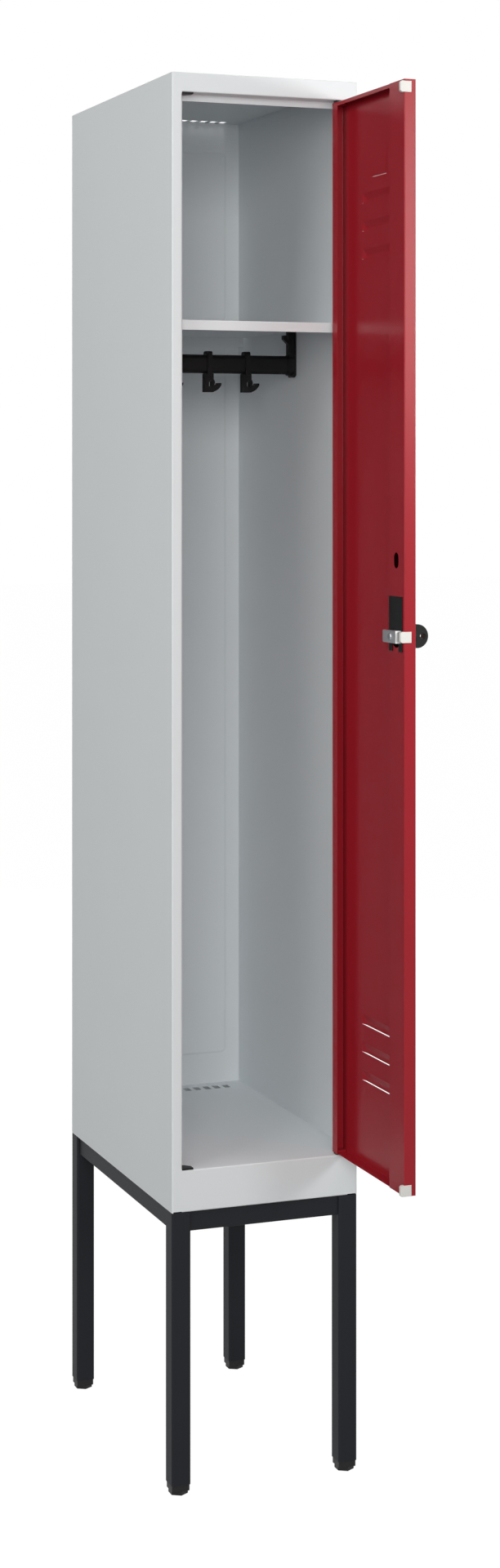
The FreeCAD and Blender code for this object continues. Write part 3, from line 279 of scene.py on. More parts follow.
def moulded_plastic(name, colour, gloss, grain_size, grain_height, specular):
    """Injection-moulded plastic: the even grain of a spark-eroded mould, with slightly uneven gloss."""
    flow_size, gloss_drift, grain_strength = 12 * MM, 0.05, 0.4
    material, tree = new_material(name)
    place = add_node(tree, "ShaderNodeTexCoord").outputs["Object"]
    grain = add_node(tree, "ShaderNodeTexVoronoi", {"Vector": place, "Scale": 1 / grain_size})
    flow = noise(tree, place, flow_size, detail=3.0)
    bump = add_node(tree, "ShaderNodeBump", {
        "Height": grain.outputs["Distance"], "Strength": grain_strength, "Distance": grain_height})
    plastic = add_node(tree, "ShaderNodeBsdfPrincipled", {
        "Base Color": blend(tree, flow, linear(colour[0]), linear(colour[1])),
        "Roughness": follow(tree, flow, gloss - gloss_drift, gloss + gloss_drift),
        "Normal": bump.outputs[0], "Specular IOR Level": specular, "IOR": 1.53})
    add_node(tree, "ShaderNodeOutputMaterial", {"Surface": plastic.outputs[0]})
    return material


foot_plastic = moulded_plastic("black polyamide", ("161617", "1a1a1b"),
                               gloss=0.5, grain_size=0.8 * MM, grain_height=0.03 * MM, specular=0.2)
for corner in corner_names:
    insert = moulded(f"leg_plug_{corner}", f"leg_insert_{corner}", collar_edge, foot_plastic)
    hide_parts(f"leg_insert_{corner}")
    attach(insert, "cabinet")
    foot = moulded(f"foot_pad_{corner}", f"foot_{corner}", pad_edge, foot_plastic)
    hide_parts(f"foot_{corner}")
    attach(foot, f"foot_{corner}")

# Cabinet sides: one steel sheet each, folded at the back to a flange and at the front to a post.
# The post turns in again behind the door to a stop lip; its edge is filled level at both door ends.
sheet = 1 * MM
bend = 1 * MM
post_face = 16 * MM
post_depth = 26 * MM
rear_flange = 14 * MM
lip_root = 6 * MM
rebate_lip = 10 * MM
corner_run = 3 * MM
post_relief = 1.5 * MM
cut_margin = 2 * MM
cabinet_paint = powder_coat("light grey powder coat", "e4eaed", "e1e7ea",
                            gloss=0.42, peel_height=0.014 * MM, specular=0.18)


def bent_line(corners, radius, offset, sharp, steps=6):
    """An open line with round bends, moved sideways by an offset."""
    points = [complex(*corner) for corner in corners]
    start, end = points[1] - points[0], points[-1] - points[-2]
    line = [points[0] + 1j * offset * start / abs(start)]
    for number in range(1, len(points) - 1):
        before, here, after = points[number - 1:number + 2]
        bend_radius = None if number in sharp else radius
        line += bend_at(here, here - before, after - here, bend_radius, offset, steps)
    line.append(points[-1] + 1j * offset * end / abs(end))
    return [(point.real, point.imag) for point in line]


def bent_sheet(corners, thickness, inside_radius, sharp=()):
    """The closed outline of a sheet folded along a line on its middle; some corners may stay sharp."""
    middle_radius = inside_radius + thickness / 2
    left = bent_line(corners, middle_radius, thickness / 2, sharp)
    right = bent_line(corners, middle_radius, -thickness / 2, sharp)
    return left + right[::-1]


def block(low, high):
    """A plain cutting block between two corners."""
    return stack([(low[2], rectangle(low[:2], high[:2])), (high[2], rectangle(low[:2], high[:2]))], "z")


def plain_mesh(piece):
    """Replaces a piece's mesh by what its modifiers make of it."""
    scene_state = bpy.context.evaluated_depsgraph_get()
    made = bpy.data.meshes.new_from_object(piece.evaluated_get(scene_state), depsgraph=scene_state)
    spare = piece.data
    piece.modifiers.clear()
    piece.data = made
    bpy.data.meshes.remove(spare)


def carve(piece, operation, shapes):
    """Joins shapes to a piece or cuts them out of it, and finishes its surface again."""
    material = piece.data.materials[0]
    piece.modifiers.clear()
    tools = []
    for number, shape in enumerate(shapes):
        tool = add_piece(f"{piece.name}_tool_{number}", shape, material)
        tool.modifiers.clear()
        step = piece.modifiers.new("carve", "BOOLEAN")
        step.operation = operation
        step.solver = "EXACT"
        step.object = tool
        tools.append(tool)
    plain_mesh(piece)
    for tool in tools:
        bpy.data.meshes.remove(tool.data)
    shade(piece, material)


floor_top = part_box("floor_panel")[1].z
lip_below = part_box("roof_panel")[0].z
ledge_below = lip_below + rebate_lip
for side, name in ((-1, "left"), (1, "right")):
    low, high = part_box(f"{name}_side_panel")
    face = high.x if side > 0 else low.x
    lip_end = low.x if side > 0 else high.x
    wall = face - side * sheet / 2
    post = face - side * (post_face - sheet / 2)
    post_end = low.y + post_depth
    front = low.y + sheet / 2
    rear = high.y - sheet / 2
    folds = [(face - side * rear_flange, rear), (wall, rear), (wall, front), (post, front), (post, post_end)]
    filled = bent_sheet(folds, sheet, bend, sharp=(3,))
    rounded = bent_sheet(folds, sheet, bend)
    panel = add_piece(f"side_sheet_{name}", stack([
        (low.z, filled), (floor_top, filled), (floor_top + corner_run, rounded),
        (ledge_below - corner_run, rounded), (ledge_below, filled), (high.z, filled)], "z"), cabinet_paint)
    lip_line = [(post, post_end - lip_root), (post, post_end - sheet / 2), (lip_end, post_end - sheet / 2)]
    lip = bent_sheet(lip_line, sheet, bend)
    carve(panel, "UNION", [stack([(floor_top, lip), (lip_below, lip)], "z")])
    relief = sorted((post - side * sheet, wall - side * (bend + sheet / 2)))
    carve(panel, "DIFFERENCE", [block((relief[0], low.y - cut_margin, low.z - cut_margin),
                                      (relief[1], post_end + cut_margin, low.z + post_relief))])
    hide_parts(f"{name}_side_panel")
    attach(panel, "cabinet")

# Back: one sheet welded inside the rear flanges, with a shallow field pressed in to stiffen it.
# Its foot is folded forwards to a flange that is bolted down on the stand.
field_side_margin = 25 * MM
field_end_margin = 50 * MM
field_rise = 2 * MM
field_slope = 4 * MM
field_corner = 8 * MM
slope_shares = (0, 0.3, 0.7, 1)
plate_corner = 0.08 * MM
base_flange = 23 * MM
flange_notch = 16 * MM
low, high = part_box("back_panel")
half_width = -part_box("left_side_panel")[0].x
roof_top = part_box("roof_panel")[1].z
outer_face = high.y
inner_face = outer_face - sheet
plate = round_corners(rectangle((low.x, low.z), (high.x, high.z)), plate_corner)
field_low = (field_side_margin - half_width, floor_top + field_end_margin)
field_high = (half_width - field_side_margin, roof_top - field_end_margin)


def pressed_slope(face):
    """The levels of the field's edge, from a face of the sheet down its slope."""
    levels = []
    for share in slope_shares:
        outline = round_corners(rectangle(field_low, field_high, share * field_slope), field_corner)
        levels.append((face - share * field_rise, outline))
    return levels


plate_edge = [(outer_face, plate), (inner_face, plate)]
back_levels = pressed_slope(outer_face)[::-1] + plate_edge + pressed_slope(inner_face)
back = add_piece("back_sheet", stack(back_levels, "y"), cabinet_paint)
flange_half = half_width - flange_notch
flange_level = low.z + sheet / 2
flange_root = outer_face - sheet / 2
flange_fold = bent_sheet([(flange_root, low.z + base_flange / 2), (flange_root, flange_level),
                          (low.y, flange_level)], sheet, bend)
carve(back, "UNION", [stack([(-flange_half, flange_fold), (flange_half, flange_fold)], "x")])
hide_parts("back_panel")
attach(back, "cabinet")

# Floor: one sheet whose front is folded down to the deep strip below the door and in again on the stand.
# A row of square air slots is punched near the back, and narrow side flanges are welded to the sides.
weld_flange = 15 * MM
weld_flange_end = 30 * MM
slot_count = 14
slot_pitch = 17.4 * MM
slot_width = 11 * MM
floor_slot_length = 21 * MM
floor_slot_setback = 22 * MM


def new_tree(name, inputs):
    """An empty geometry tree with named inputs, and its input sockets by name."""
    tree = bpy.data.node_groups.new(name, "GeometryNodeTree")
    tree.interface.new_socket("Geometry", in_out="INPUT", socket_type="NodeSocketGeometry")
    for label, kind in inputs:
        tree.interface.new_socket(label, in_out="INPUT", socket_type=f"NodeSocket{kind}")
    tree.interface.new_socket("Geometry", in_out="OUTPUT", socket_type="NodeSocketGeometry")
    return tree, add_node(tree, "NodeGroupInput").outputs


def end_tree(tree, geometry, material):
    """Ends a tree: instances become real, and all of it gets one material."""
    real = add_node(tree, "GeometryNodeRealizeInstances", {"Geometry": geometry})
    painted = add_node(tree, "GeometryNodeSetMaterial", {"Geometry": real.outputs[0], "Material": material})
    add_node(tree, "NodeGroupOutput", {"Geometry": painted.outputs[0]})


def grow(piece, tree, values):
    """Runs a geometry tree on a piece, with its inputs set by name, and keeps the plain mesh."""
    material = piece.data.materials[0]
    piece.modifiers.clear()
    step = piece.modifiers.new(tree.name, "NODES")
    step.node_group = tree
    for item in tree.interface.items_tree:
        if item.in_out == "INPUT" and item.name in values:
            step[item.identifier] = values[item.name]
    plain_mesh(piece)
    shade(piece, material)


def slot_row_tree(material):
    """Punches a straight row of slots through a sheet."""
    tree, given = new_tree("punched slot row", [
        ("Slots", "Int"), ("Pitch", "Vector"), ("First Slot", "Vector"), ("Slot Size", "Vector")])
    row = add_node(tree, "GeometryNodeMeshLine", {
        "Count": given["Slots"], "Start Location": given["First Slot"], "Offset": given["Pitch"]})
    punch = add_node(tree, "GeometryNodeMeshCube", {"Size": given["Slot Size"]})
    punches = add_node(tree, "GeometryNodeInstanceOnPoints", {
        "Points": row.outputs[0], "Instance": punch.outputs[0]})
    tools = add_node(tree, "GeometryNodeRealizeInstances", {"Geometry": punches.outputs[0]})
    punched = add_node(tree, "GeometryNodeMeshBoolean", {0: given["Geometry"], 1: tools.outputs[0]},
                       operation="DIFFERENCE", solver="EXACT")
    end_tree(tree, punched.outputs[0], material)
    return tree


slot_row = slot_row_tree(cabinet_paint)


def punch_slots(piece, length, rear, height):
    """Runs the row of slots across a plate, at a height and up to a line near its back."""
    grow(piece, slot_row, {
        "Slots": slot_count, "Pitch": (slot_pitch, 0, 0),
        "First Slot": (-slot_pitch * (slot_count - 1) / 2, rear - length / 2, height),
        "Slot Size": (slot_width, length, 2 * cut_margin)})


low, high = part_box("floor_panel")
post_inner = half_width - post_face
post_rear = low.y + post_depth
middle = sheet / 2
cabinet_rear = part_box("left_side_panel")[1].y
floor_level, strip_face, strip_foot = high.z - middle, low.y + middle, low.z + middle
floor_fold = bent_sheet([(high.y, floor_level), (strip_face, floor_level), (strip_face, strip_foot),
                         (low.y + base_flange, strip_foot)], sheet, bend)
floor = add_piece("floor_sheet", stack([(low.x, floor_fold), (high.x, floor_fold)], "x"), cabinet_paint)


def weld_strips(plate_below, front, rear):
    """The two narrow flanges under a plate's side edges."""
    strips = []
    for side in (-1, 1):
        across = sorted((side * (half_width - sheet), side * (half_width - 2 * sheet)))
        strips.append(block((across[0], front + weld_flange_end, plate_below - weld_flange),
                            (across[1], rear - weld_flange_end, plate_below + middle)))
    return strips


post_gaps = []
for start, end in ((low.x - cut_margin, -post_inner), (post_inner, high.x + cut_margin)):
    post_gaps.append(block((start, low.y - cut_margin, low.z - cut_margin),
                           (end, post_rear, high.z + cut_margin)))
carve(floor, "DIFFERENCE", post_gaps)
carve(floor, "UNION", weld_strips(high.z - sheet, post_rear, high.y))
punch_slots(floor, floor_slot_length, cabinet_rear - floor_slot_setback, floor_level)
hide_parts("floor_panel")
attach(floor, "cabinet")

# Roof: a plate over the whole cabinet, with the strip above the door folded from it between the posts.
# The strip turns back to a ledge and down again to a lip that stops the door; slots let the air out.
roof_slot_length = 18 * MM
roof_slot_setback = 7 * MM
roof_corner = 2 * MM
roof_edge = 0.35 * MM
low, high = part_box("roof_panel")
plate = round_corners(rectangle(low.xy, high.xy), roof_corner)
roof_plate = soften(stack([(high.z - sheet, plate), (high.z, plate)], "z"), roof_edge, segments=3)
roof = add_piece("roof_sheet", roof_plate, cabinet_paint)
head_fold = bent_sheet([(low.y + middle, high.z - middle), (low.y + middle, ledge_below + middle),
                        (post_rear - middle, ledge_below + middle), (post_rear - middle, low.z)], sheet, bend)
carve(roof, "UNION", [stack([(-post_inner, head_fold), (post_inner, head_fold)], "x")]
      + weld_strips(high.z - sheet, post_rear, cabinet_rear - 2 * sheet))
punch_slots(roof, roof_slot_length, cabinet_rear - roof_slot_setback, high.z - middle)
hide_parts("roof_panel")
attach(roof, "cabinet")

# Stand bolts and nuts: hexagon bolts go down through the cabinet's bottom flanges into nuts inside the rails.
# They are zinc-plated steel, bright and slightly cloudy from the plating bath.
bolt_across = 10 * MM
bolt_radius = 3 * MM
head_height = 4 * MM
head_chamfer = 0.6 * MM
thread_sides = 24


def zinc_plated(name, colour, gloss):
    """Bright zinc on steel: a bluish grey metal, brighter and duller in soft cloudy patches."""
    cloud_size, brighter, duller = 5 * MM, 0.06, 0.08
    material, tree = new_material(name)
    place = add_node(tree, "ShaderNodeTexCoord").outputs["Object"]
    cloud = noise(tree, place, cloud_size, detail=3.0)
    metal = add_node(tree, "ShaderNodeBsdfPrincipled", {
        "Base Color": blend(tree, cloud, linear(colour[0]), linear(colour[1])),
        "Roughness": follow(tree, cloud, gloss - brighter, gloss + duller), "Metallic": 1.0})
    add_node(tree, "ShaderNodeOutputMaterial", {"Surface": metal.outputs[0]})
    return material


zinc_steel = zinc_plated("zinc-plated steel", ("a7aaad", "bcbfc2"), gloss=0.32)


def circle(centre, radius, sides=48):
    """A round outline."""
    turns = [math.tau * i / sides for i in range(sides)]
    return [(centre[0] + radius * math.cos(turn), centre[1] + radius * math.sin(turn)) for turn in turns]


def rod(axis, centre, radius, start, end, sides=48):
    """A round bar between two places along an axis, round a centre given by its two places across it."""
    outline = circle(centre, radius, sides)
    return stack([(start, outline), (end, outline)], axis)


def hexagon(across, start, end, chamfer):
    """A six-sided bolt head or nut on the upright axis, with both ends turned down a little."""
    radius = across / math.sqrt(3)
    turns = [math.tau * i / 6 for i in range(6)]
    rings = []
    for along, reach in ((start, radius - chamfer), (start + chamfer, radius), (end - chamfer, radius),
                         (end, radius - chamfer)):
        rings.append((along, [(reach * math.sin(turn), reach * math.cos(turn)) for turn in turns]))
    return stack(rings, "z")


def bolt_set_tree(material):
    """Puts one fastener at each corner of a rectangle."""
    tree, given = new_tree("four fasteners", [("Row Width", "Float"), ("Row Depth", "Float")])
    corners = add_node(tree, "GeometryNodeMeshGrid", {
        "Size X": given["Row Width"], "Size Y": given["Row Depth"], "Vertices X": 2, "Vertices Y": 2})
    set_out = add_node(tree, "GeometryNodeInstanceOnPoints", {
        "Points": corners.outputs[0], "Instance": given["Geometry"]})
    end_tree(tree, set_out.outputs[0], material)
    return tree


bolt_set = bolt_set_tree(zinc_steel)
low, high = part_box("stand_bolts")
bolt_rows = {"Row Width": high.x - low.x - bolt_across,
             "Row Depth": high.y - low.y - 2 * bolt_across / math.sqrt(3)}
bolt_head = hexagon(bolt_across, high.z - head_height, high.z, head_chamfer)
bolts = add_piece("hexagon_bolts", bolt_head, zinc_steel)
carve(bolts, "UNION", [rod("z", (0, 0), bolt_radius, low.z, high.z - head_height / 2, thread_sides)])
grow(bolts, bolt_set, bolt_rows)
nut_low, nut_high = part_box("stand_nuts")
nut_block = hexagon(bolt_across, nut_low.z, nut_high.z, head_chamfer)
nuts = add_piece("hexagon_nuts", nut_block, zinc_steel)
nut_bore = rod("z", (0, 0), bolt_radius, nut_low.z - cut_margin, nut_high.z + cut_margin, thread_sides)
carve(nuts, "DIFFERENCE", [nut_bore])
grow(nuts, bolt_set, bolt_rows)
for piece, node in ((bolts, "stand_bolts"), (nuts, "stand_nuts")):
    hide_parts(node)
    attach(piece, "cabinet")

# Hat shelf: a sheet folded down at the front to a lip that faces the user, and down at the back.
# It is welded to the side walls and painted with the cabinet; the rear lip stops short of the walls.
rear_lip_inset = 9 * MM
front_lip = 15 * MM
low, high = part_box("hat_shelf")
shelf_fold = bent_sheet([(low.y + middle, high.z - front_lip), (low.y + middle, high.z - middle),
                         (high.y - middle, high.z - middle), (high.y - middle, low.z)], sheet, bend)
shelf = add_piece("shelf_sheet", stack([(low.x, shelf_fold), (high.x, shelf_fold)], "x"), cabinet_paint)
lip_ends = []
for start, end in ((low.x - cut_margin, low.x + rear_lip_inset),
                   (high.x - rear_lip_inset, high.x + cut_margin)):
    lip_ends.append(block((start, high.y - 2 * sheet, low.z - cut_margin),
                          (end, high.y + cut_margin, high.z - 2 * sheet)))
carve(shelf, "DIFFERENCE", lip_ends)
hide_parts("hat_shelf")
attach(shelf, "cabinet")

# Coat rail: an oval tube across the cabinet, black all over, pushed into a bracket at each end.
# The brackets are moulded in one piece with a cup, an arm up to the shelf and a hook-shaped catch.
coat_rail_wall = 1.5 * MM
bracket_edge = 0.8 * MM
full_round = 0.999  # just under a half circle, so that no two points of the outline coincide
black_plastic = moulded_plastic("black moulded plastic", ("121213", "161617"),
                                gloss=0.45, grain_size=0.7 * MM, grain_height=0.03 * MM, specular=0.16)
low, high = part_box("coat_rail")
round_end = (high.y - low.y) / 2
outer = round_corners(rectangle(low.yz, high.yz), round_end * full_round, steps=12)
inner_end = round_end - coat_rail_wall
inner = round_corners(rectangle(low.yz, high.yz, coat_rail_wall), inner_end * full_round, steps=12)
rail = add_piece("oval_coat_rail", tube(outer, inner, "x", low.x, high.x), black_plastic)
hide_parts("coat_rail")
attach(rail, "cabinet")
for side in ("left", "right"):
    bracket = moulded(f"rail_end_{side}", f"rail_bracket_{side}", bracket_edge, black_plastic)
    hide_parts(f"rail_bracket_{side}")
    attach(bracket, "cabinet")

# Coat hooks: moulded hooks that slide on the rail, each with a band, an eye and one curved prong.
# They are black like the rail; their edges are rounded so that cloth does not catch.
hook_edge = 1.2 * MM
for number in (1, 2, 3):
    hook = moulded(f"sliding_hook_{number}", f"coat_hook_{number}", hook_edge, black_plastic)
    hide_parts(f"coat_hook_{number}")
    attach(hook, f"hook_{number}")

# Hinge bushes: black moulded corner plates pressed into the sheet, bored on the hinge side.
# The two on the other side are blank, because the same cabinet can be hung the other way.
bush_edge = 0.5 * MM
for kind in ("hinge", "blank"):
    for level in ("upper", "lower"):
        bush = moulded(f"{kind}_corner_{level}", f"{kind}_bush_{level}", bush_edge, black_plastic)
        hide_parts(f"{kind}_bush_{level}")
        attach(bush, "cabinet")

# Door leaf: one sheet folded to a tray, with a lip at the top and a closed channel on the lock side.
# Two groups of louvres are pressed outwards for air, and a label field is slit above the upper group.
door_sheet = 1 * MM
door_bend = 0.6 * MM
hinge_return = 18.8 * MM
lock_return = 52.5 * MM
end_lip = 6 * MM
foot_setback = 1.5 * MM
door_depth = 18.4 * MM
louvre_rise = 3.2 * MM
label_rise = 1.2 * MM
low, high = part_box("door_leaf")
door_return = low.x
door_front = door_return + door_depth
free_edge, hinge_edge = low.y, high.y
skin = door_front - door_sheet / 2
inner_fold = door_return + door_sheet / 2
hinge_wall = hinge_edge - door_sheet / 2
free_wall = free_edge + door_sheet / 2
channel_wall = free_edge + lock_return - door_sheet / 2
# Painted shade: the inside of the closed lock channel, seen through the peep hole, is painted dark red.
lock_channel_shade = ("2c0b0e", (inner_fold, skin), (free_wall, channel_wall))
door_paint = powder_coat("ruby red powder coat", "a01e2a", "9b1c27",
                         gloss=0.22, peel_height=0.01 * MM, specular=0.2, painted_shade_hollow=lock_channel_shade)
tray = bent_sheet([(inner_fold, hinge_edge - hinge_return), (inner_fold, hinge_wall), (skin, hinge_wall),
                   (skin, free_wall), (inner_fold, free_wall), (inner_fold, channel_wall),
                   (skin - door_sheet, channel_wall)], door_sheet, door_bend)
door = add_piece("door_sheet", stack([(low.z, tray), (high.z, tray)], "z"), door_paint)
top_level = high.z - door_sheet / 2
top_fold = bent_sheet([(skin, top_level), (inner_fold, top_level), (inner_fold, high.z - end_lip)],
                      door_sheet, door_bend / 2)
top_flange = stack([(free_edge + door_sheet, top_fold), (hinge_edge - door_sheet, top_fold)], "y")
foot_flange = block((door_return + foot_setback, free_wall, low.z), (skin, hinge_wall, low.z + door_sheet))
carve(door, "UNION", [top_flange, foot_flange])
lock_low, lock_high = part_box("lock_body")
lock_y, lock_z = (lock_low.y + lock_high.y) / 2, (lock_low.z + lock_high.z) / 2
barrel_hole = 11.2 * MM
return_hole = 16.2 * MM
peep_width, peep_height, peep_rise = 16 * MM, 23 * MM, 109.6 * MM
peep_low = (lock_y - peep_width / 2, lock_z + peep_rise - peep_height / 2)
peep_high = (lock_y + peep_width / 2, lock_z + peep_rise + peep_height / 2)
peep_round = 0.4999 * peep_width  # just under a half circle, like the coat rail's ends
peep = round_corners(rectangle(peep_low, peep_high), peep_round, steps=12)
through_return = (door_return - cut_margin, door_return + door_sheet + cut_margin)
carve(door, "DIFFERENCE", [
    rod("x", (lock_y, lock_z), barrel_hole, door_return - cut_margin, door_front + cut_margin),
    rod("x", (lock_y, lock_z), return_hole, *through_return),
    stack([(through_return[0], peep), (through_return[1], peep)], "x")])

louvre_count = 3
louvre_pitch = 42 * MM
louvre_width = 118 * MM
louvre_height = 16 * MM
louvre_slope = 12 * MM
louvre_crest = 6 * MM
louvre_slit = 0.3 * MM
window_depth = 4 * MM
upper_drop = 143.5 * MM
lower_lift = 140.5 * MM


def ramp(share):
    """A straight rise from 0 to 1 whose last part is rounded off."""
    straight = 0.8
    level = 2 - straight
    share = min(max(share, 0.0), level)
    return share if share < straight else 1 - (level - share) ** 2 / (4 * (1 - straight))


def louvre_hood():
    """One pressed hood round its own middle: open below, sloping to the skin above and at both ends."""
    columns, rows = 40, 12
    shape = bmesh.new()
    layers = []
    for depth in (0.0, door_sheet):
        grid = []
        for i in range(columns + 1):
            y = louvre_width * (i / columns - 0.5)
            ends = (louvre_width / 2 - abs(y)) / louvre_slope
            line = []
            for j in range(rows + 1):
                z = louvre_height * j / rows
                top = (louvre_height - z) / (louvre_height - louvre_crest)
                rise = louvre_rise * min(ramp(ends), ramp(top))
                line.append(shape.verts.new((rise - depth, y, z)))
            grid.append(line)
        layers.append(grid)
    for grid in layers:
        for i in range(columns):
            for j in range(rows):
                shape.faces.new((grid[i][j], grid[i + 1][j], grid[i + 1][j + 1], grid[i][j + 1]))
    outer, inner = layers
    rim = [(i, 0) for i in range(columns)] + [(columns, j) for j in range(rows)]
    rim += [(i, rows) for i in range(columns, 0, -1)] + [(0, j) for j in range(rows, 0, -1)]
    for (i, j), (next_i, next_j) in zip(rim, rim[1:] + rim[:1]):
        shape.faces.new((outer[i][j], outer[next_i][next_j], inner[next_i][next_j], inner[i][j]))
    bmesh.ops.recalc_face_normals(shape, faces=shape.faces)
    return shape


def louvre_group_tree(material):
    """Opens a column of windows in the door and sets a hood over each."""
    tree, given = new_tree("louvre group", [
        ("Hood", "Object"), ("Louvres", "Int"), ("Pitch", "Vector"), ("First Hood", "Vector"),
        ("Window Size", "Vector"), ("Window Place", "Vector")])
    column = add_node(tree, "GeometryNodeMeshLine", {
        "Count": given["Louvres"], "Start Location": given["First Hood"], "Offset": given["Pitch"]})
    window = add_node(tree, "GeometryNodeMeshCube", {"Size": given["Window Size"]})
    lifted = add_node(tree, "GeometryNodeTransform", {
        "Geometry": window.outputs[0], "Translation": given["Window Place"]})
    windows = add_node(tree, "GeometryNodeInstanceOnPoints", {
        "Points": column.outputs[0], "Instance": lifted.outputs[0]})
    tools = add_node(tree, "GeometryNodeRealizeInstances", {"Geometry": windows.outputs[0]})
    opened = add_node(tree, "GeometryNodeMeshBoolean", {0: given["Geometry"], 1: tools.outputs[0]},
                      operation="DIFFERENCE", solver="EXACT")
    hood = add_node(tree, "GeometryNodeObjectInfo", {"Object": given["Hood"]})
    hoods = add_node(tree, "GeometryNodeInstanceOnPoints", {
        "Points": column.outputs[0], "Instance": hood.outputs["Geometry"]})
    pressed = add_node(tree, "GeometryNodeRealizeInstances", {"Geometry": hoods.outputs[0]})
    joined = add_node(tree, "GeometryNodeMeshBoolean", {1: opened.outputs[0]},
                      operation="UNION", solver="EXACT")
    tree.links.new(pressed.outputs[0], joined.inputs[1])
    end_tree(tree, joined.outputs[0], material)
    return tree


hood = add_piece("louvre_hood", louvre_hood(), door_paint)
louvre_group = louvre_group_tree(door_paint)
door_middle = (free_edge + hinge_edge) / 2
lowest = low.z + lower_lift - louvre_height
uppermost = high.z - upper_drop - louvre_height
for first, step in ((lowest, louvre_pitch), (uppermost, -louvre_pitch)):
    grow(door, louvre_group, {
        "Hood": hood, "Louvres": louvre_count, "Pitch": (0, 0, step),
        "First Hood": (door_front, door_middle, first),
        "Window Size": (window_depth, louvre_width, louvre_height + louvre_slit),
        "Window Place": (-door_sheet / 2, 0, (louvre_height - louvre_slit) / 2)})
bpy.data.meshes.remove(hood.data)

label_width, label_height = 52 * MM, 31 * MM
label_drop, label_inset = 92.5 * MM, 101 * MM
label_slit, label_hole, label_rim = 0.3 * MM, 0.5 * MM, 4 * MM
label_chamfer = 0.9 * MM
hole_sides = 20
label_free = free_edge + label_inset
label_hinge = label_free + label_width
label_top = high.z - label_drop
label_foot = label_top - label_height
rim_foot = label_foot - label_rim
rim_spans = [
    ((label_free - label_rim, rim_foot), (label_free, label_top)),
    ((label_hinge, rim_foot), (label_hinge + label_rim, label_top)),
    ((label_free - label_rim / 2, rim_foot), (label_hinge + label_rim / 2, label_foot))]
rims = []
for near, far in rim_spans:
    strip = rectangle(near, far)
    crest = rectangle(near, far, label_rise / 2)
    rims.append(stack([(skin, strip), (door_front, strip), (door_front + label_rise, crest)], "x"))
carve(door, "UNION", rims)
through_skin = (door_front - door_sheet - cut_margin, door_front + label_rise + cut_margin)
inner_skin = door_front - door_sheet
label_cuts = []
for far in ((label_free + label_slit, label_top), (label_hinge, label_foot + label_slit)):
    slit = rectangle((label_free, label_foot), far)
    mouth = rectangle((label_free, label_foot), far, -2 * label_chamfer)
    label_cuts.append(stack([(through_skin[0], slit), (through_skin[1], slit)], "x"))
    label_cuts.append(stack([(inner_skin - label_chamfer, mouth), (inner_skin + label_chamfer, slit)], "x"))
for hole in ((label_hinge, label_top), (label_hinge, label_foot)):
    label_cuts.append(rod("x", hole, label_hole, *through_skin, hole_sides))
    label_cuts.append(stack([
        (inner_skin - label_chamfer, circle(hole, label_hole + 2 * label_chamfer, hole_sides)),
        (inner_skin + label_chamfer, circle(hole, label_hole, hole_sides))], "x"))
carve(door, "DIFFERENCE", label_cuts)
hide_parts("door_leaf")
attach(door, "door")

# Hinge pins: short turned steel pins on small plates, welded into the corners of the door tray.
# They are painted with the door; the plates show inside the tray, the pins only at the bushes.
pin_edge = 0.2 * MM
for level in ("upper", "lower"):
    pin = moulded(f"painted_pin_{level}", f"hinge_pin_{level}", pin_edge, door_paint)
    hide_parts(f"hinge_pin_{level}")
    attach(pin, "door")

# Bumpers: white caps clipped over the door's free edge, which meet the stop lip when the door shuts.
# They are soft polyethylene, a little waxy, with their inner corners cut off.
bumper_edge = 0.9 * MM
bumper_plastic = moulded_plastic("white polyethylene", ("e3e3df", "dcdcd8"),
                                 gloss=0.45, grain_size=1.5 * MM, grain_height=0.02 * MM, specular=0.4)
for level in ("upper", "middle", "lower"):
    bumper = moulded(f"edge_bumper_{level}", f"door_bumper_{level}", bumper_edge, bumper_plastic)
    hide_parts(f"door_bumper_{level}")
    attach(bumper, "door")

# Lock: a black moulded body through the door, kept by a black steel fork that slides up over its barrel.
# A round knob with a hole for a padlock turns a plated cam, held on its spindle by a screw.
body_edge = 0.8 * MM
fork_edge = 0.3 * MM
knob_edge = 1.2 * MM
cam_edge = 0.6 * MM
lock_body = moulded("lock_barrel", "lock_body", body_edge, black_plastic)
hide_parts("lock_body")
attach(lock_body, "door")
fork_paint = powder_coat("black stoved paint", "161718", "131415",
                         gloss=0.45, peel_height=0.01 * MM, specular=0.16)
fork = moulded("lock_fork", "lock_fork_plate", fork_edge, fork_paint)
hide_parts("lock_fork_plate")
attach(fork, "door")
knob = moulded("padlock_knob", "lock_knob", knob_edge, black_plastic)
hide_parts("lock_knob")
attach(knob, "lock")
cam_chrome = zinc_plated("bright nickel plate", ("d2d3d4", "dcddde"), gloss=0.34)
cam = moulded("plated_cam", "latch_cam", cam_edge, cam_chrome)
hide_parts("latch_cam")
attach(cam, "lock")
for node in ("lock_spindle", "cam_screw"):
    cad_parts[node].data.materials.clear()
    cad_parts[node].data.materials.append(zinc_steel)

# Studio: a wide floor that is white to the camera but keeps a faint shadow, an even white surround
# and six soft lamps. The camera is level and looks from the front left, with its frame shifted down
# as for a tall object.
floor_reach = 30.0
floor_patch = 400 * MM
floor_white, floor_white_share = 1.1, 0.9
ground = bmesh.new()
ground_outline = rectangle((-floor_reach, -floor_reach), (floor_reach, floor_reach))
ground.faces.new([ground.verts.new((x, y, 0)) for x, y in ground_outline])


def backdrop_rays(tree, kinds):
    """1 for the rays that see the white backdrop, 0 for the rays that only light the object."""
    rays = add_node(tree, "ShaderNodeLightPath")
    seen = rays.outputs["Is Camera Ray"]
    for kind in kinds:
        both = add_node(tree, "ShaderNodeMath", {0: seen, 1: rays.outputs[kind]}, operation="MAXIMUM")
        seen = both.outputs[0]
    return seen


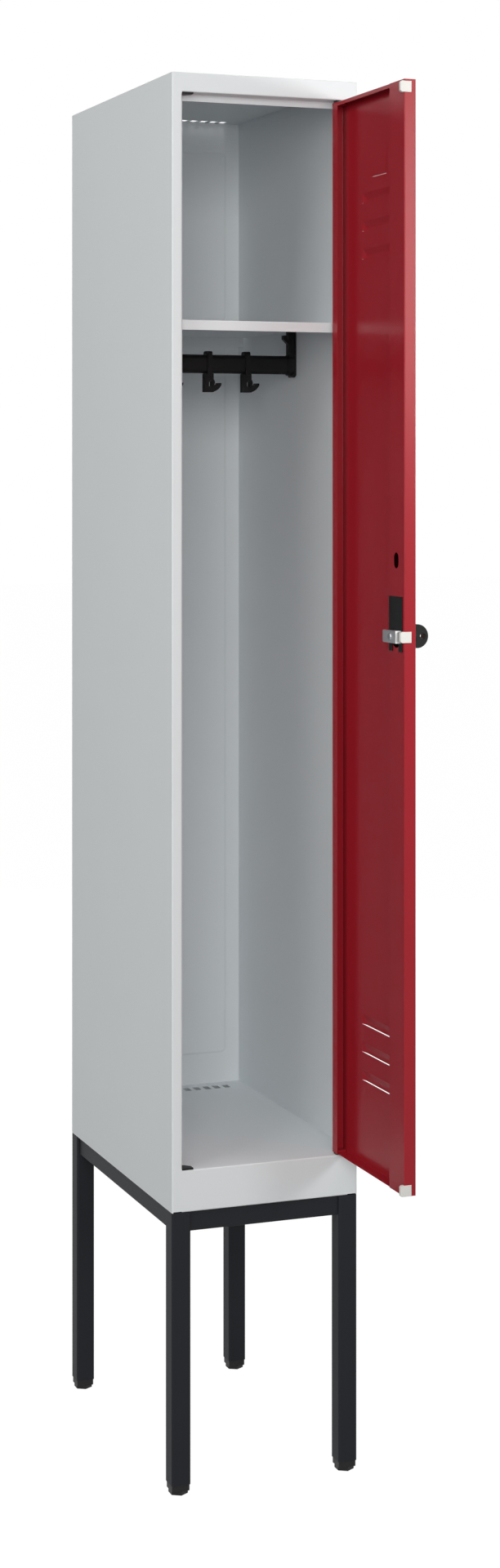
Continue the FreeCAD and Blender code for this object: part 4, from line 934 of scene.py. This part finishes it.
ground_paint, ground_tree = new_material("white studio floor")
ground_place = add_node(ground_tree, "ShaderNodeTexCoord").outputs["Object"]
ground_grain = noise(ground_tree, ground_place, floor_patch)
ground_tint = blend(ground_tree, ground_grain, linear("989898"), linear("9c9c9c"))
ground_matt = add_node(ground_tree, "ShaderNodeBsdfDiffuse", {"Color": ground_tint})
ground_white = add_node(ground_tree, "ShaderNodeEmission", {
    "Color": linear("ffffff"), "Strength": floor_white})
ground_share = add_node(ground_tree, "ShaderNodeMath", {
    0: backdrop_rays(ground_tree, ["Is Glossy Ray"]), 1: floor_white_share}, operation="MULTIPLY")
ground_mix = add_node(ground_tree, "ShaderNodeMixShader", {
    0: ground_share.outputs[0], 1: ground_matt.outputs[0], 2: ground_white.outputs[0]})
add_node(ground_tree, "ShaderNodeOutputMaterial", {"Surface": ground_mix.outputs[0]})
studio_floor = add_piece("studio_floor", ground, ground_paint)

scene = bpy.context.scene
scene.view_settings.view_transform = "Standard"
surround_light = 0.12
surround = bpy.data.worlds.new("white surround")
scene.world = surround
surround.use_nodes = True
sky = surround.node_tree
sky.nodes.clear()
seen_white = backdrop_rays(sky, ["Is Glossy Ray", "Is Transmission Ray"])
even = add_node(sky, "ShaderNodeBackground", {"Color": linear("f4f9ff"), "Strength": surround_light})
white = add_node(sky, "ShaderNodeBackground", {"Color": linear("ffffff"), "Strength": 1.0})
sky_mix = add_node(sky, "ShaderNodeMixShader", {0: seen_white, 1: even.outputs[0], 2: white.outputs[0]})
add_node(sky, "ShaderNodeOutputWorld", {"Surface": sky_mix.outputs[0]})


def soft_lamp(name, place, target, size, power, spread=180):
    """A square softbox that faces a point; a grid before it can narrow its spread, in degrees."""
    lamp = bpy.data.lights.new(name, "AREA")
    lamp.shape = "SQUARE"
    lamp.size = size
    lamp.energy = power
    lamp.spread = math.radians(spread)
    lamp.color = linear("fffcf9")[:3]
    holder = bpy.data.objects.new(name, lamp)
    holder.location = place
    aim = holder.location.copy()
    aim.x, aim.y, aim.z = (there - here for there, here in zip(target, place))
    holder.rotation_mode = "QUATERNION"
    holder.rotation_quaternion = aim.to_track_quat("-Z", "Y")
    holder.visible_camera = False
    scene.collection.objects.link(holder)


soft_lamp("front left softbox", place=(-1.9, -5.8, 2.4), target=(0, 0, 1.3), size=2.4, power=130)
soft_lamp("front right softbox", place=(2.7, -6.0, 2.4), target=(0, -0.4, 1.9), size=1.3, power=57)
soft_lamp("left softbox", place=(-4.6, -2.1, 3.2), target=(0, -0.1, 1.7), size=3.4, power=112)
soft_lamp("overhead softbox", place=(-0.4, -2.4, 6.0), target=(0, 0, 0.5), size=3.2, power=70)
soft_lamp("right softbox", place=(1.6, -1.5, 1.68), target=(0.1, -0.5, 1.68), size=0.45, power=3.8, spread=75)
soft_lamp("rear softbox", place=(2.4, 4.4, 1.5), target=(0, 0.2, 1.2), size=2.0, power=100)

lens = bpy.data.cameras.new("photograph view")
lens.sensor_width = 36.0
lens.lens = 58.335
lens.shift_x = 0.02966
lens.shift_y = -0.19789
camera = bpy.data.objects.new("photograph view", lens)
camera.location = (-1.41705, -3.81314, 1.52339)
camera.rotation_euler = (math.radians(90), 0, math.radians(-20.284))
scene.collection.objects.link(camera)
scene.camera = camera
